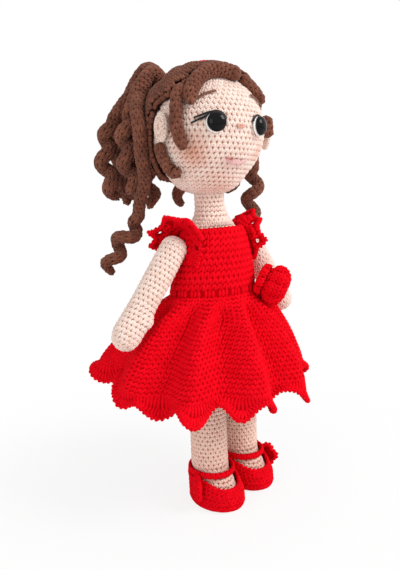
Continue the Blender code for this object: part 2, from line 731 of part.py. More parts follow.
def plate_on_head(name, azimuth, latitude, outline, wall, look, mirrored=False):
    """A flat piece of embroidery that follows the head's curve."""
    frame = head_seat(azimuth, latitude, HEAD_RADIUS)
    bm = bmesh.new()
    layers = []
    for lift in (2 * GAP, 2 * GAP + wall):
        row = []
        for x, y in outline:
            point = frame @ Vector((-x if mirrored else x, y, 0))
            outwards = (point - HEAD_CENTRE).normalized()
            row.append(bm.verts.new(HEAD_CENTRE + outwards * (HEAD_RADIUS + lift)))
        layers.append(row)
    low, high = layers
    bm.faces.new(low)
    bm.faces.new(high)
    for i in range(len(low)):
        j = (i + 1) % len(low)
        bm.faces.new((low[i], low[j], high[j], high[i]))
    bmesh.ops.triangulate(bm, faces=[f for f in bm.faces if len(f.verts) > 4])
    bmesh.ops.recalc_face_normals(bm, faces=bm.faces)
    return mesh_object(name, bm, look, "head")


def sphere_rings(radius, latitudes, count):
    """Rings of an upright sphere about the head's middle."""
    frame = Matrix.Translation(HEAD_CENTRE)
    return [round_ring(frame, radius * math.sin(t), radius * math.cos(t), count) for t in latitudes]


def make_head():
    opening = -math.acos(HEAD_OPENING_RADIUS / HEAD_RADIUS)
    top = math.radians(81.0)
    latitudes = [opening + (top - opening) * i / HEAD_ROUNDS for i in range(HEAD_ROUNDS + 1)]
    rings = sphere_rings(HEAD_RADIUS, latitudes, HEAD_SIDES)
    rings.append([HEAD_CENTRE + Vector((0, 0, HEAD_RADIUS))])
    skin = cloth_shell("head_skin", rings, SKIN_WALL, SKIN, "head")
    fill_radius = HEAD_RADIUS - SKIN_WALL - 2 * GAP
    bore = DOWEL_RADIUS + GAP
    low = -math.acos(bore / fill_radius)
    latitudes = [low + (top - low) * i / FILLING_ROUNDS for i in range(FILLING_ROUNDS + 1)]
    bore_top = DOWEL_HIGH + GAP
    rings = [[Vector((0, NECK_Y, bore_top))], oval(0, NECK_Y, bore_top, bore, bore, FILLING_SIDES)]
    rings += sphere_rings(fill_radius, latitudes, FILLING_SIDES)
    rings.append([HEAD_CENTRE + Vector((0, 0, fill_radius))])
    filling = closed_solid("head_stuffing", rings, FIBRE, "head")
    return skin, filling


def turned(name, frame, outline, look, body, count):
    """A solid turned about the frame's Z, from (radius, height) pairs, where radius zero is a pole."""
    rings = []
    for radius, height in outline:
        if radius == 0:
            rings.append([frame @ Vector((0, 0, height))])
        else:
            rings.append(round_ring(frame, height, radius, count))
    return closed_solid(name, rings, look, body)


EYE_DOME_SHARES = ((1.0, 0.0), (0.98, 0.22), (0.86, 0.55), (0.60, 0.82), (0.30, 0.96))
EYE_SIDES = 16
WASHER_SIDES = 12
CUTTER_SIDES = 14


def disc_rings(frame, hole, edge, low, high, count):
    """The four rings of a flat disc with a hole."""
    corners = ((hole, low), (edge, low), (edge, high), (hole, high))
    return [round_ring(frame, height, radius, count) for radius, height in corners]


def make_eye(side, azimuth, skin, filling):
    """A domed safety eye over a white felt disc, with its shank through the skin and a washer behind."""
    frame = head_seat(azimuth, EYE_LIFT_ANGLE, HEAD_RADIUS)
    seat = 2 * GAP + EYE_WHITE_WALL + GAP
    low = seat - EYE_SHANK_LENGTH
    outline = [(0, low), (EYE_SHANK_RADIUS, low), (EYE_SHANK_RADIUS, seat)]
    outline += [(r * EYE_RADIUS, seat + h * EYE_DOME) for r, h in EYE_DOME_SHARES] + [(0, seat + EYE_DOME)]
    turned(f"eye_{side}", frame, outline, BLACK, "head", EYE_SIDES)
    hole = EYE_SHANK_RADIUS + SHANK_CLEARANCE
    white = (hole, EYE_WHITE_RADIUS, 2 * GAP, 2 * GAP + EYE_WHITE_WALL)
    closed_solid(f"eye_{side}_white", disc_rings(frame, *white, EYE_SIDES), WHITE, "head", loop=True)
    back = -SKIN_WALL - 2 * GAP
    washer = (hole, WASHER_RADIUS, back - WASHER_WALL, back - GAP)
    closed_solid(f"eye_{side}_washer", disc_rings(frame, *washer, WASHER_SIDES), CLEAR, "head", loop=True)
    wall_cut = ((hole, -SKIN_WALL - CUT_OVERRUN), (hole, CUT_OVERRUN))
    cut_by(skin, turned_cutter(f"eye_{side}_skin_cutter", frame, wall_cut))
    pocket = WASHER_RADIUS + GAP
    depth = min(back - WASHER_WALL, low) - GAP
    filling_cut = ((pocket, depth), (pocket, CUT_OVERRUN))
    cut_by(filling, turned_cutter(f"eye_{side}_filling_cutter", frame, filling_cut))


def turned_cutter(name, frame, outline):
    rings = [round_ring(frame, height, radius, CUTTER_SIDES) for radius, height in outline]
    return closed_solid(name, rings, CLEAR, "head")


# Face embroidery, as shares of the piece's own width and height
LID_SHARES = (
    *((1.15, 0.18), (1.02, 0.72), (0.60, 1.14), (0.05, 1.34), (-0.45, 1.30), (-1.00, 1.12), (-2.38, 0.60)),
    *((-2.35, 0.34), (-1.50, 0.56), (-2.68, 0.04), (-2.62, -0.22), (-1.30, 0.22), (-1.06, 0.50)),
    *((-0.80, 0.84), (-0.45, 1.05), (0.05, 1.12), (0.55, 0.98), (0.98, 0.56)),
)
BROW_SHARES = (
    *((-0.50, -0.66), (-0.20, -0.15), (0.15, 0.25), (0.50, 0.58)),
    *((0.52, 0.32), (0.15, -0.15), (-0.20, -0.54)),
)
MOUTH_SHARES = (
    *((-0.50, 0.28), (-0.28, 0.30), (-0.08, 0.46), (0.0, 0.36), (0.08, 0.46)),
    *((0.28, 0.34), (0.50, 0.28), (0.30, -0.18), (0.0, -0.50), (-0.30, -0.22)),
)
NOSE_SHARES = ((-0.5, 0.0), (-0.25, 0.5), (0.25, 0.5), (0.5, 0.0), (0.25, -0.5), (-0.25, -0.5))
BROW_SIDE_ANGLE = math.radians(34.0)
BROW_LIFT_ANGLE = math.radians(29.0)
MOUTH_LIFT_ANGLE = math.radians(-32.0)
NOSE_LIFT_ANGLE = math.radians(1.0)


def scaled(outline, width, height):
    return [(x * width, y * height) for x, y in outline]


EAR_SIDES = 16
EAR_RING_SHARES = ((0.0, 0.62), (0.25, 0.92), (0.6, 1.0), (0.9, 0.72), (1.0, 0.4))


def make_ear(side, sign):
    frame = head_seat(sign * EAR_SIDE_ANGLE, EAR_LIFT_ANGLE, HEAD_RADIUS)
    rings = []
    for level, share in EAR_RING_SHARES:
        height = 2 * GAP + level * EAR_THICKNESS
        points = oval(0, 0, height, share * EAR_HALF_WIDTH, share * EAR_HALF_HEIGHT, EAR_SIDES)
        rings.append([frame @ p for p in points])
    closed_solid(f"ear_{side}", rings, SKIN, "head")


def make_face():
    skin, filling = make_head()
    for side, sign in (("right", 1), ("left", -1)):
        make_eye(side, sign * EYE_SIDE_ANGLE, skin, filling)
        lid = scaled(LID_SHARES, EYE_RADIUS, EYE_RADIUS)
        angles = (sign * EYE_SIDE_ANGLE, EYE_LIFT_ANGLE)
        plate_on_head(f"eyelashes_{side}", *angles, lid, EMBROIDERY_WALL, THREAD, sign < 0)
        brow = scaled(BROW_SHARES, BROW_LENGTH, BROW_HEIGHT)
        angles = (sign * BROW_SIDE_ANGLE, BROW_LIFT_ANGLE)
        plate_on_head(f"eyebrow_{side}", *angles, brow, EMBROIDERY_WALL, BROW, sign < 0)
        make_ear(side, sign)
    mouth = scaled(MOUTH_SHARES, MOUTH_WIDTH, MOUTH_HEIGHT)
    plate_on_head("mouth", 0, MOUTH_LIFT_ANGLE, mouth, EMBROIDERY_WALL, PINK)
    nose = scaled(NOSE_SHARES, NOSE_WIDTH, NOSE_HEIGHT)
    plate_on_head("nose", 0, NOSE_LIFT_ANGLE, nose, EMBROIDERY_WALL, NOSE)


# Hair cap: latitude of its edge at azimuths from the face's middle to the back
CAP_EDGE_DEGREES = (
    *((0, 57), (30, 56), (45, 50), (56, 42), (66, 33), (78, 25)),
    *((88, 21), (94, -8), (104, -32), (125, -46), (180, -54)),
)
CAP_TOP_ANGLE = math.radians(84.0)
CAP_COLUMNS = 32
CAP_ROWS = 12


def cap_radius():
    return HEAD_RADIUS + CAP_EASE + CAP_WALL


def cap_edge(azimuth):
    turns = abs(math.degrees(math.atan2(math.sin(azimuth), math.cos(azimuth))))
    table = np.array(CAP_EDGE_DEGREES, float)
    return math.radians(np.interp(turns, table[:, 0], table[:, 1]))


def make_cap():
    rings = []
    for row in range(CAP_ROWS):
        ring = []
        for a in circle(CAP_COLUMNS):
            edge = cap_edge(-a)
            latitude = edge + (CAP_TOP_ANGLE - edge) * row / (CAP_ROWS - 1)
            ring.append(head_point(-a, latitude, cap_radius()))
        rings.append(ring)
    rings.append([head_point(0, math.pi / 2, cap_radius())])
    cloth_shell("hair_cap", rings, CAP_WALL, BROWN, "head")


def lock_stations(turns, curl_from):
    """Shares of a lock's length at which its route is sampled, closer where it curls."""
    if not turns:
        return list(np.linspace(0, 1, PLAIN_STATIONS))
    plain = np.linspace(0, curl_from, PLAIN_STATIONS, endpoint=False)
    return [*plain, *np.linspace(curl_from, 1, int(POINTS_PER_TURN * turns) + 1)]


def lock(name, points, radius, curl=(0, 0), start_turn=0.0):
    """A crocheted lock along a smooth route, which winds into a ringlet from a share of its length."""
    turns, curl_from = curl
    base = [Vector(p) for p in smooth_samples(points, ROUTE_SAMPLES)]
    lengths = np.cumsum([0] + [(b - a).length for a, b in zip(base, base[1:])])
    route = []
    across = None
    for s in lock_stations(turns, curl_from):
        i = int(np.searchsorted(lengths, s * lengths[-1], side="right")) - 1
        i = min(max(i, 0), len(base) - 2)
        t = (s * lengths[-1] - lengths[i]) / (lengths[i + 1] - lengths[i])
        place = base[i].lerp(base[i + 1], t)
        along = (base[i + 1] - base[i]).normalized()
        across = along.orthogonal() if across is None else across - along * across.dot(along)
        across = across.normalized()
        share = max(0, (s - curl_from) / (1 - curl_from))
        angle = 2 * math.pi * turns * share + start_turn
        reach = RINGLET_RADIUS * ease(CURL_RUN_IN * share) if turns else 0
        place = place + across * (reach * math.cos(angle))
        route.append(place + along.cross(across) * (reach * math.sin(angle)))
    curve = bpy.data.curves.new(name, "CURVE")
    curve.dimensions = "3D"
    curve.bevel_depth = radius
    curve.bevel_resolution = 1
    curve.use_fill_caps = True
    spline = curve.splines.new("POLY")
    spline.points.add(len(route) - 1)
    for i, (point, place) in enumerate(zip(spline.points, route)):
        point.co = (*place, 1)
        past = (i / (len(route) - 1) - TIP_START_SHARE) / (1 - TIP_START_SHARE)
        point.radius = 1 - TIP_THINNING * ease(past)
    curve.materials.append(BROWN)
    made = bpy.data.objects.new(name, curve)
    bpy.context.scene.collection.objects.link(made)
    carried(made, "head")


def beside_head(shares):
    """Points given as shares of the head's radius from its middle, for hair that hangs straight down."""
    return [HEAD_CENTRE + Vector([s * HEAD_RADIUS for s in share]) for share in shares]


def on_head(angles, lift):
    """Points at (azimuth, latitude) in degrees, lifted above the hair cap or the skin."""
    return [head_point(math.radians(a), math.radians(t), lift) for a, t in angles]


# Locks that lie on the head: (azimuth, latitude) in degrees, from the parting to the tip
FRONT_ROLL_DEGREES = ((-13, 43), (-4, 48), (10, 49), (26, 48), (38, 44), (45, 37), (48, 29), (48, 22))
SIDE_LOCK_DEGREES = ((60, 30), (62, 22), (61, 12), (60, 2), (57, -6), (54, -13))
EAR_LOCK_DEGREES = ((86, -16), (85, -23), (82, -30), (76, -36), (69, -36))
FAR_ROLL_DEGREES = ((-28, 47), (-40, 43), (-52, 36), (-60, 31), (-66, 28))
FAR_CURL_DEGREES = ((-63, 18), (-60, 10), (-60, 1), (-63, -7))
# Locks that hang free, as shares of the head's radius from the head's middle
NEAR_LONG_SHARES = (
    *((-1.29, 0.10, 0.22), (-1.29, 0.14, 0.0), (-1.17, 0.32, -0.36)),
    *((-0.96, 0.56, -0.79), (-0.98, 0.72, -1.15), (-1.04, 0.78, -1.52)),
    *((-1.24, 0.90, -1.80), (-1.40, 1.0, -2.05), (-1.50, 1.05, -2.40)),
)
FAR_LONG_SHARES = (
    *((1.258, 0.18, 0.24), (1.258, 0.24, -0.10), (1.28, 0.26, -0.59)),
    *((1.30, 0.30, -0.95), (1.28, 0.32, -1.25), (1.22, 0.34, -1.62)),
)
NEAR_CURL = (2.6, 0.66)  # turns, and the share of the length where they begin
FAR_CURL = (2.0, 0.45)
PONY_CURL = (3.0, 0.42)
PLAIN_STATIONS = 8
ROUTE_SAMPLES = 60
CURL_RUN_IN = 4  # the curl reaches its full width after one part in this many of its length
TIP_START_SHARE = 0.85  # of a lock's length, where it begins to thin
TIP_THINNING = 0.35


def make_front_hair():
    for name, route, radius in (
        ("front_roll", FRONT_ROLL_DEGREES, ROLL_RADIUS),
        ("side_lock", SIDE_LOCK_DEGREES, ROLL_RADIUS),
        ("ear_lock", EAR_LOCK_DEGREES, LOCK_RADIUS),
        ("far_roll", FAR_ROLL_DEGREES, LOCK_RADIUS),
    ):
        lock(name, on_head(route, HEAD_RADIUS + radius + 2 * GAP), radius)
    lock("far_curl", on_head(FAR_CURL_DEGREES, HEAD_RADIUS + ROLL_RADIUS - GAP), ROLL_RADIUS)
    lock("near_long_lock", beside_head(NEAR_LONG_SHARES), LONG_LOCK_RADIUS, NEAR_CURL)
    lock("far_long_lock", beside_head(FAR_LONG_SHARES), LONG_LOCK_RADIUS, FAR_CURL)


# Ponytail: each curl's heading in degrees from straight back, and its shares of the reach and of the rise
PONY_HEADINGS = (
    (-90, 0.80, 0.3),
    (-58, 0.98, 0.0),
    (-26, 1.10, 1.0),
    (0, 0.95, 0.5),
    (26, 1.10, 1.0),
    (51, 0.98, 0.0),
    (81, 0.80, 0.3),
)
# A curl's way from its root, in head radii: outwards, upwards, and how much higher a fully lifted curl loops
PONY_WAY_SHARES = (
    *((0.08, 0.05, 0.20), (0.28, 0.03, 0.27), (0.56, -0.22, 0.22), (0.82, -0.58, 0.10)),
    *((0.98, -1.00, 0.0), (1.03, -1.40, 0.0), (0.94, -1.95, 0.0)),
)
KNOT_SIDES = 16
KNOT_SHARES = ((0.80, 0.0), (1.0, 0.35), (0.98, 0.85), (0.70, 1.25), (0.30, 1.42))
KNOT_TOP_SHARE = 1.45


def make_ponytail():
    root = HEAD_FRAME @ Vector((0, cap_radius() * math.cos(PONY_ANGLE), cap_radius() * math.sin(PONY_ANGLE)))
    axis = (root - HEAD_CENTRE).normalized()
    frame = facing(root + axis * 2 * GAP, axis)
    outline = [(share * KNOT_RADIUS, level * KNOT_RADIUS) for share, level in KNOT_SHARES]
    outline.append((0, KNOT_TOP_SHARE * KNOT_RADIUS))
    turned("ponytail_knot", frame, outline, BROWN, "head", KNOT_SIDES)
    for k, (heading, reach, lift) in enumerate(PONY_HEADINGS):
        angle = math.radians(heading)
        outwards = Vector((math.sin(angle), math.cos(angle), 0))
        ring = (outwards - axis * outwards.dot(axis)).normalized()
        start = root + ring * PONY_RING_RADIUS + axis * (LOCK_RADIUS + 2 * GAP)
        points = [start]
        for out, rise, loft in PONY_WAY_SHARES:
            up = Vector((0, 0, rise + loft * lift))
            points.append(start + (outwards * out * reach + up) * HEAD_RADIUS)
        lock(f"ponytail_curl_{k + 1}", points, LOCK_RADIUS, PONY_CURL, start_turn=k)


def make_hair():
    make_cap()
    make_front_hair()
    make_ponytail()
    seat = head_seat(math.pi, CAP_TOP_ANGLE, cap_radius() + GAP)
    flower("hair_bow", seat, TIE_RADIUS, TIE_WALL, SMALL_PETALS, RED, "head", PETAL_SHARES)


def centre_on_floor():
    """Moves the whole doll so that its bounding box is centred over the origin."""
    bpy.context.view_layer.update()
    graph = bpy.context.evaluated_depsgraph_get()
    corners = []
    for obj in bpy.context.scene.objects:
        if obj.type in {"MESH", "CURVE"} and not obj.hide_render:
            evaluated = obj.evaluated_get(graph)
            mesh = evaluated.to_mesh()
            corners += [obj.matrix_world @ v.co for v in mesh.vertices]
            evaluated.to_mesh_clear()
    points = np.array(corners)
    middle = (points.min(axis=0) + points.max(axis=0)) / 2
    DOLL.location = (-middle[0], -middle[1], -points[:, 2].min())
    bpy.context.view_layer.update()
    print("moved to the origin by", [round(v, 6) for v in DOLL.location])
    for name, pivot in PIVOTS.items():
        print(name, "pivot", [round(v, 6) for v in pivot.matrix_world.translation])


make_body()
for side, sign in (("right", -1), ("left", 1)):
    make_leg(side, sign)
    make_shoe(side, sign)
    make_arm(side, sign)
    make_frill(side, sign)
make_bodice()
make_skirt()
make_trimmings()
make_face()
make_hair()
centre_on_floor()
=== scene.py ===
# %% [markdown]
# # A crocheted doll
# The doll is about 240 mm tall: peach skin, brown curled hair, a red frilled dress and strap shoes. Every
# soft surface on it is a fabric of single crochet. This file dresses the plain CAD model in real stitches:
# the shapes are the CAD model's, written again here as formulas, and Geometry Nodes set one small stitch
# at each place that the rounds of crochet reach.

# %% Load the plain model
import json
from math import acos, asin, atan2, cos, degrees, exp, hypot, pi, radians, sin, sqrt

import bmesh
import bpy
import numpy as np
from mathutils import Matrix, Vector


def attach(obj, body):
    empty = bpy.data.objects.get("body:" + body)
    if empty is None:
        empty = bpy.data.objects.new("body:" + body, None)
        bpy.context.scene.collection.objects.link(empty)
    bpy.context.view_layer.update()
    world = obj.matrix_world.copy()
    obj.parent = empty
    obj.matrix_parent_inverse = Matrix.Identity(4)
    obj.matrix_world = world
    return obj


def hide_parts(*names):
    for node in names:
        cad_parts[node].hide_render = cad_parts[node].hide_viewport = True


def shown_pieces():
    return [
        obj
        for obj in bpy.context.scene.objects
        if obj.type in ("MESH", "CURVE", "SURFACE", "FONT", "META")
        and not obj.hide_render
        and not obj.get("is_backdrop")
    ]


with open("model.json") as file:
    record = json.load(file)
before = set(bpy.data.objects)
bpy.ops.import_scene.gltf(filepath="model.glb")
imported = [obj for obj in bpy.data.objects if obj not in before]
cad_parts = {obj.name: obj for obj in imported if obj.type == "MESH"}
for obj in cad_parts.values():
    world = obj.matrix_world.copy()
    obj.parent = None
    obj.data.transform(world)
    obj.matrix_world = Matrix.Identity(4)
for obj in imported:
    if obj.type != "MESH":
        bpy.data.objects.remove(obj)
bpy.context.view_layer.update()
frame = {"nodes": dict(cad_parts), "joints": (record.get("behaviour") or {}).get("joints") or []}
MM = 0.001
JOINTS = {joint["name"]: joint for joint in frame["joints"]}
print(len(frame["nodes"]), "nodes,", "joints:", *JOINTS)

# %% [markdown]
# ## Where the doll stands
# The formulas below are written for a doll whose neck rises from x = 0. The CAD model is then moved so that
# its box is centred on the floor, so the same move is read back from the neck joint and given to every mesh.

# %% Place and main sizes
NECK_Y = 5.5 * MM
NECK_TOP = 170.4 * MM
NECK_JOINT = Vector(JOINTS["head_turn"]["pos_m"])
SHIFT = NECK_JOINT - Vector((0, NECK_Y, NECK_TOP))
HEAD_RADIUS = 31.0 * MM
HEAD_HEIGHT = 201.0 * MM
HEAD_TURN = radians(-4.5)
HEAD_TILT = radians(4.0)
HEAD_CENTRE = Vector((0, NECK_Y, HEAD_HEIGHT))
HEAD_FRAME = (
    Matrix.Translation(HEAD_CENTRE) @ Matrix.Rotation(HEAD_TURN, 4, "Z") @ Matrix.Rotation(HEAD_TILT, 4, "Y")
)
print("moved by", [round(v / MM, 2) for v in SHIFT], "mm")

# %% [markdown]
# ## Camera, floor and light
# The photograph looks down a little on the doll from its front right, on plain white. One large soft lamp
# stands high in front, a weaker one fills from the side, and a white world lights the rest, all at a level
# at which a colour renders as it is written.

# %% Camera
CAMERA_DISTANCE = 345 * MM
CAMERA_HEIGHT = 178 * MM
CAMERA_SIDE = radians(38)
CAMERA_AIM = radians(38 - 1.67)
CAMERA_DOWN = radians(9.75)
CAMERA_ROLL = radians(-2.3)
across_view, along_view = sin(CAMERA_SIDE), cos(CAMERA_SIDE)
stand = Vector((-CAMERA_DISTANCE * across_view, -CAMERA_DISTANCE * along_view, CAMERA_HEIGHT)) + SHIFT
level = cos(CAMERA_DOWN)
ahead = Vector((sin(CAMERA_AIM) * level, cos(CAMERA_AIM) * level, -sin(CAMERA_DOWN)))
right_hand = Vector((cos(CAMERA_AIM), -sin(CAMERA_AIM), 0))
overhead = right_hand.cross(ahead)
rolled_right = cos(CAMERA_ROLL) * right_hand + sin(CAMERA_ROLL) * overhead
rolled_up = cos(CAMERA_ROLL) * overhead - sin(CAMERA_ROLL) * right_hand
lens = bpy.data.cameras.new("camera")
lens.lens = 40.1
lens.sensor_width = 36.0
lens.clip_start = 10 * MM
camera = bpy.data.objects.new("camera", lens)
facing_camera = Matrix((rolled_right, rolled_up, -ahead)).transposed().to_4x4()
camera.matrix_world = Matrix.Translation(stand) @ facing_camera
bpy.context.scene.collection.objects.link(camera)
bpy.context.scene.camera = camera
print("camera at", [round(v / MM) for v in stand], "mm")


# %% One helper for every node tree
def feed(tree, node, inputs):
    """Sets a node's inputs, or links each to a socket or to another node's first output."""
    for key, value in inputs.items():
        if isinstance(value, bpy.types.Node):
            value = value.outputs[0]
        if isinstance(value, bpy.types.NodeSocket):
            tree.links.new(value, node.inputs[key])
        else:
            node.inputs[key].default_value = value


def add(tree, kind, settings=None, inputs=None):
    """Adds a node, sets its properties, and sets or links its inputs."""
    node = tree.nodes.new(kind)
    for name, value in (settings or {}).items():
        setattr(node, name, value)
    feed(tree, node, inputs or {})
    return node


def maths(tree, operation, *values, **settings):
    """One math node, with its inputs in order."""
    return add(tree, "ShaderNodeMath", {"operation": operation, **settings}, dict(enumerate(values)))


def linear(hexes):
    """An sRGB hex colour as the linear RGBA that Blender's sockets take."""
    shares = [int(hexes[i : i + 2], 16) / 255 for i in (0, 2, 4)]
    return (*[s / 12.92 if s <= 0.04045 else ((s + 0.055) / 1.055) ** 2.4 for s in shares], 1)


# %% World, lamps and floor
AMBIENT_STRENGTH = 0.62
WHITE = linear("ffffff")
scene = bpy.context.scene
scene.view_settings.view_transform = "Standard"
world = bpy.data.worlds.new("white_studio")
world.use_nodes = True
scene.world = world
air = world.node_tree
air.nodes.clear()
path = add(air, "ShaderNodeLightPath").outputs
seen = maths(air, "MAXIMUM", path["Is Camera Ray"], path["Is Glossy Ray"])
seen = maths(air, "MAXIMUM", seen, path["Is Transmission Ray"])
ambient = add(air, "ShaderNodeBackground", None, {"Color": WHITE, "Strength": AMBIENT_STRENGTH})
backdrop = add(air, "ShaderNodeBackground", None, {"Color": WHITE, "Strength": 1.0})
sky = add(air, "ShaderNodeMixShader", None, {0: seen, 1: ambient, 2: backdrop})
add(air, "ShaderNodeOutputWorld", None, {"Surface": sky})


def lamp(name, place, size, watts):
    """A square soft lamp that looks at the middle of the doll."""
    light = bpy.data.lights.new(name, "AREA")
    light.size = size
    light.energy = watts
    made = bpy.data.objects.new(name, light)
    aim = Vector((0, 0, HEAD_HEIGHT / 2)) - Vector(place)
    made.matrix_world = Matrix.Translation(place) @ aim.to_track_quat("-Z", "Y").to_matrix().to_4x4()
    scene.collection.objects.link(made)


lamp("key_lamp", (0.45, -0.70, 0.75), 0.45, 7.0)
lamp("fill_lamp", (-0.85, -0.25, 0.35), 0.5, 1.6)

FLOOR_HALF = 3.0
GLOW_FROM, GLOW_TO, GLOW_LEAST = 60 * MM, 230 * MM, 0.84  # the floor fades to pure white round the doll
floor_paint = bpy.data.materials.new("matt_white_floor")
floor_paint.use_nodes = True
paint = floor_paint.node_tree
paint.nodes.clear()
matt = add(paint, "ShaderNodeBsdfDiffuse", None, {"Color": linear("f4f4f4")})
bright = add(paint, "ShaderNodeEmission", None, {"Color": WHITE, "Strength": 1.0})
path = add(paint, "ShaderNodeLightPath").outputs
spot = add(paint, "ShaderNodeTexCoord").outputs["Object"]
away = add(paint, "ShaderNodeVectorMath", {"operation": "LENGTH"}, {0: spot}).outputs["Value"]
glow = add(paint, "ShaderNodeMapRange", {"interpolation_type": "SMOOTHSTEP"}, {
    "Value": away, "From Min": GLOW_FROM, "From Max": GLOW_TO, "To Min": GLOW_LEAST, "To Max": 1.0})
share = maths(paint, "MULTIPLY", path["Is Camera Ray"], glow)
covered = add(paint, "ShaderNodeMixShader", None, {0: share, 1: matt, 2: bright})
add(paint, "ShaderNodeOutputMaterial", None, {"Surface": covered})
floor_mesh = bpy.data.meshes.new("floor")
corners = [(x * FLOOR_HALF, y * FLOOR_HALF, 0) for x, y in ((-1, -1), (1, -1), (1, 1), (-1, 1))]
floor_mesh.from_pydata(corners, [], [(0, 1, 2, 3)])
floor_mesh.materials.append(floor_paint)
floor = bpy.data.objects.new("floor", floor_mesh)
scene.collection.objects.link(floor)
floor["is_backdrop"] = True
print("world, two lamps and the floor are set")

# %% [markdown]
# ## Cotton yarn
# The doll is worked in mercerised cotton, a yarn of four plies twisted together. A strand shows as a soft
# round bar with slanting grooves between its plies, and a little fuzz takes the shine off it. Each stitch
# carries two attributes: tone, which makes one stitch a little lighter than the next, and ply, its own
# lengthwise and crosswise place, which the twist follows.


# %% Yarn materials
PLY_TURNS = 5.0  # slanting ply grooves along one bar of a stitch
FUZZ_SIZE = 0.45 * MM
FADE_SIZE = 14 * MM


def finish(name, roughness, specular):
    """A new material, its tree and shader, and the place in the object that its patterns follow."""
    made = bpy.data.materials.new(name)
    made.use_nodes = True
    tree = made.node_tree
    shader = tree.nodes["Principled BSDF"]
    feed(tree, shader, {"Roughness": roughness, "Specular IOR Level": specular})
    return made, tree, shader, add(tree, "ShaderNodeTexCoord").outputs["Object"]


def noise(tree, place, size, detail):
    cloud = add(tree, "ShaderNodeTexNoise", None, {"Vector": place, "Scale": 1 / size, "Detail": detail})
    return cloud.outputs["Fac"]


def yarn(name, light, dark, sheen=0.25, specular=0.3):
    """Cotton yarn between two tones, with ply twist and fuzz."""
    made, tree, shader, place = finish(name, 0.82, specular)
    tone = add(tree, "ShaderNodeAttribute", {"attribute_name": "tone"}).outputs["Fac"]
    fade = maths(tree, "MULTIPLY_ADD", noise(tree, place, FADE_SIZE, 2.0), 0.5, -0.1)
    blend = maths(tree, "MULTIPLY_ADD", tone, 0.6, fade, use_clamp=True)
    ply = add(tree, "ShaderNodeAttribute", {"attribute_name": "ply"}).outputs["Vector"]
    parts = add(tree, "ShaderNodeSeparateXYZ", None, {0: ply}).outputs
    twist = maths(tree, "MULTIPLY_ADD", parts[1], PLY_TURNS, parts[0])
    groove = maths(tree, "SINE", maths(tree, "MULTIPLY", twist, 2 * pi))
    height = maths(tree, "MULTIPLY_ADD", groove, 0.35, noise(tree, place, FUZZ_SIZE, 3.0))
    bump = add(tree, "ShaderNodeBump", None, {"Strength": 0.55, "Distance": 0.25 * MM, "Height": height})
    colour = add(tree, "ShaderNodeMix", {"data_type": "RGBA"}, {0: blend, 6: linear(dark), 7: linear(light)})
    feed(tree, shader, {"Sheen Weight": sheen, "Sheen Roughness": 0.5})
    feed(tree, shader, {"Base Color": colour.outputs[2], "Normal": bump})
    return made


# The darker copies of the yarns, named painted shade, line the forms under the stitches: they paint the shade in the
# holes and grooves between stitches.
SKIN = yarn("peach_cotton_yarn", "fbe8dd", "f1d2c3")
SKIN_PAINTED_SHADE = yarn("peach_cotton_between_stitches", "d9a98f", "c8937a")
# The legs' yarn is the skin yarn made pinker: painted shade for the legs under the red skirt.
SHADED_LEG_YARN = yarn("peach_cotton_yarn_legs", "fbdccd", "f2cab7")
LEG_PAINTED_SHADE = yarn("peach_cotton_legs_between_stitches", "c4917d", "b07d69")
RED = yarn("red_cotton_yarn", "f60a20", "e00416", sheen=0.0, specular=0.04)
RED_PAINTED_SHADE = yarn("red_cotton_between_stitches", "cc0414", "b0020c", sheen=0.0, specular=0.02)
HAIR = yarn("brown_cotton_yarn", "8e5844", "663a2c", sheen=0.1, specular=0.12)
HAIR_PAINTED_SHADE = yarn("brown_cotton_between_stitches", "4a2a1e", "382016", sheen=0.0, specular=0.05)
print("yarns:", SKIN.name, SHADED_LEG_YARN.name, RED.name, HAIR.name)

# %% [markdown]
# ## One stitch
# A single crochet shows two legs of yarn that meet at the bottom, like a V. The tree below builds one leg
# from a small sphere, leans it, adds the other leg, and sets the pair at each point of a helper mesh. The
# points carry a turn and a size, so a stitch always lies along its round and fills its place in it.

# %% The stitch tree
STITCH_INPUTS = (
    ("Geometry", "NodeSocketGeometry", None),
    ("Places", "NodeSocketObject", None),
    ("Leg Width", "NodeSocketFloat", 0.66),
    ("Leg Length", "NodeSocketFloat", 1.30),
    ("Lean", "NodeSocketFloat", 0.38),
    ("Slant", "NodeSocketFloat", -0.16),
    ("Spread", "NodeSocketFloat", 0.25),
    ("Both Legs", "NodeSocketBool", True),
    ("Unevenness", "NodeSocketFloat", 0.06),
    ("Seed", "NodeSocketInt", 7),
    ("Yarn", "NodeSocketMaterial", None),
)


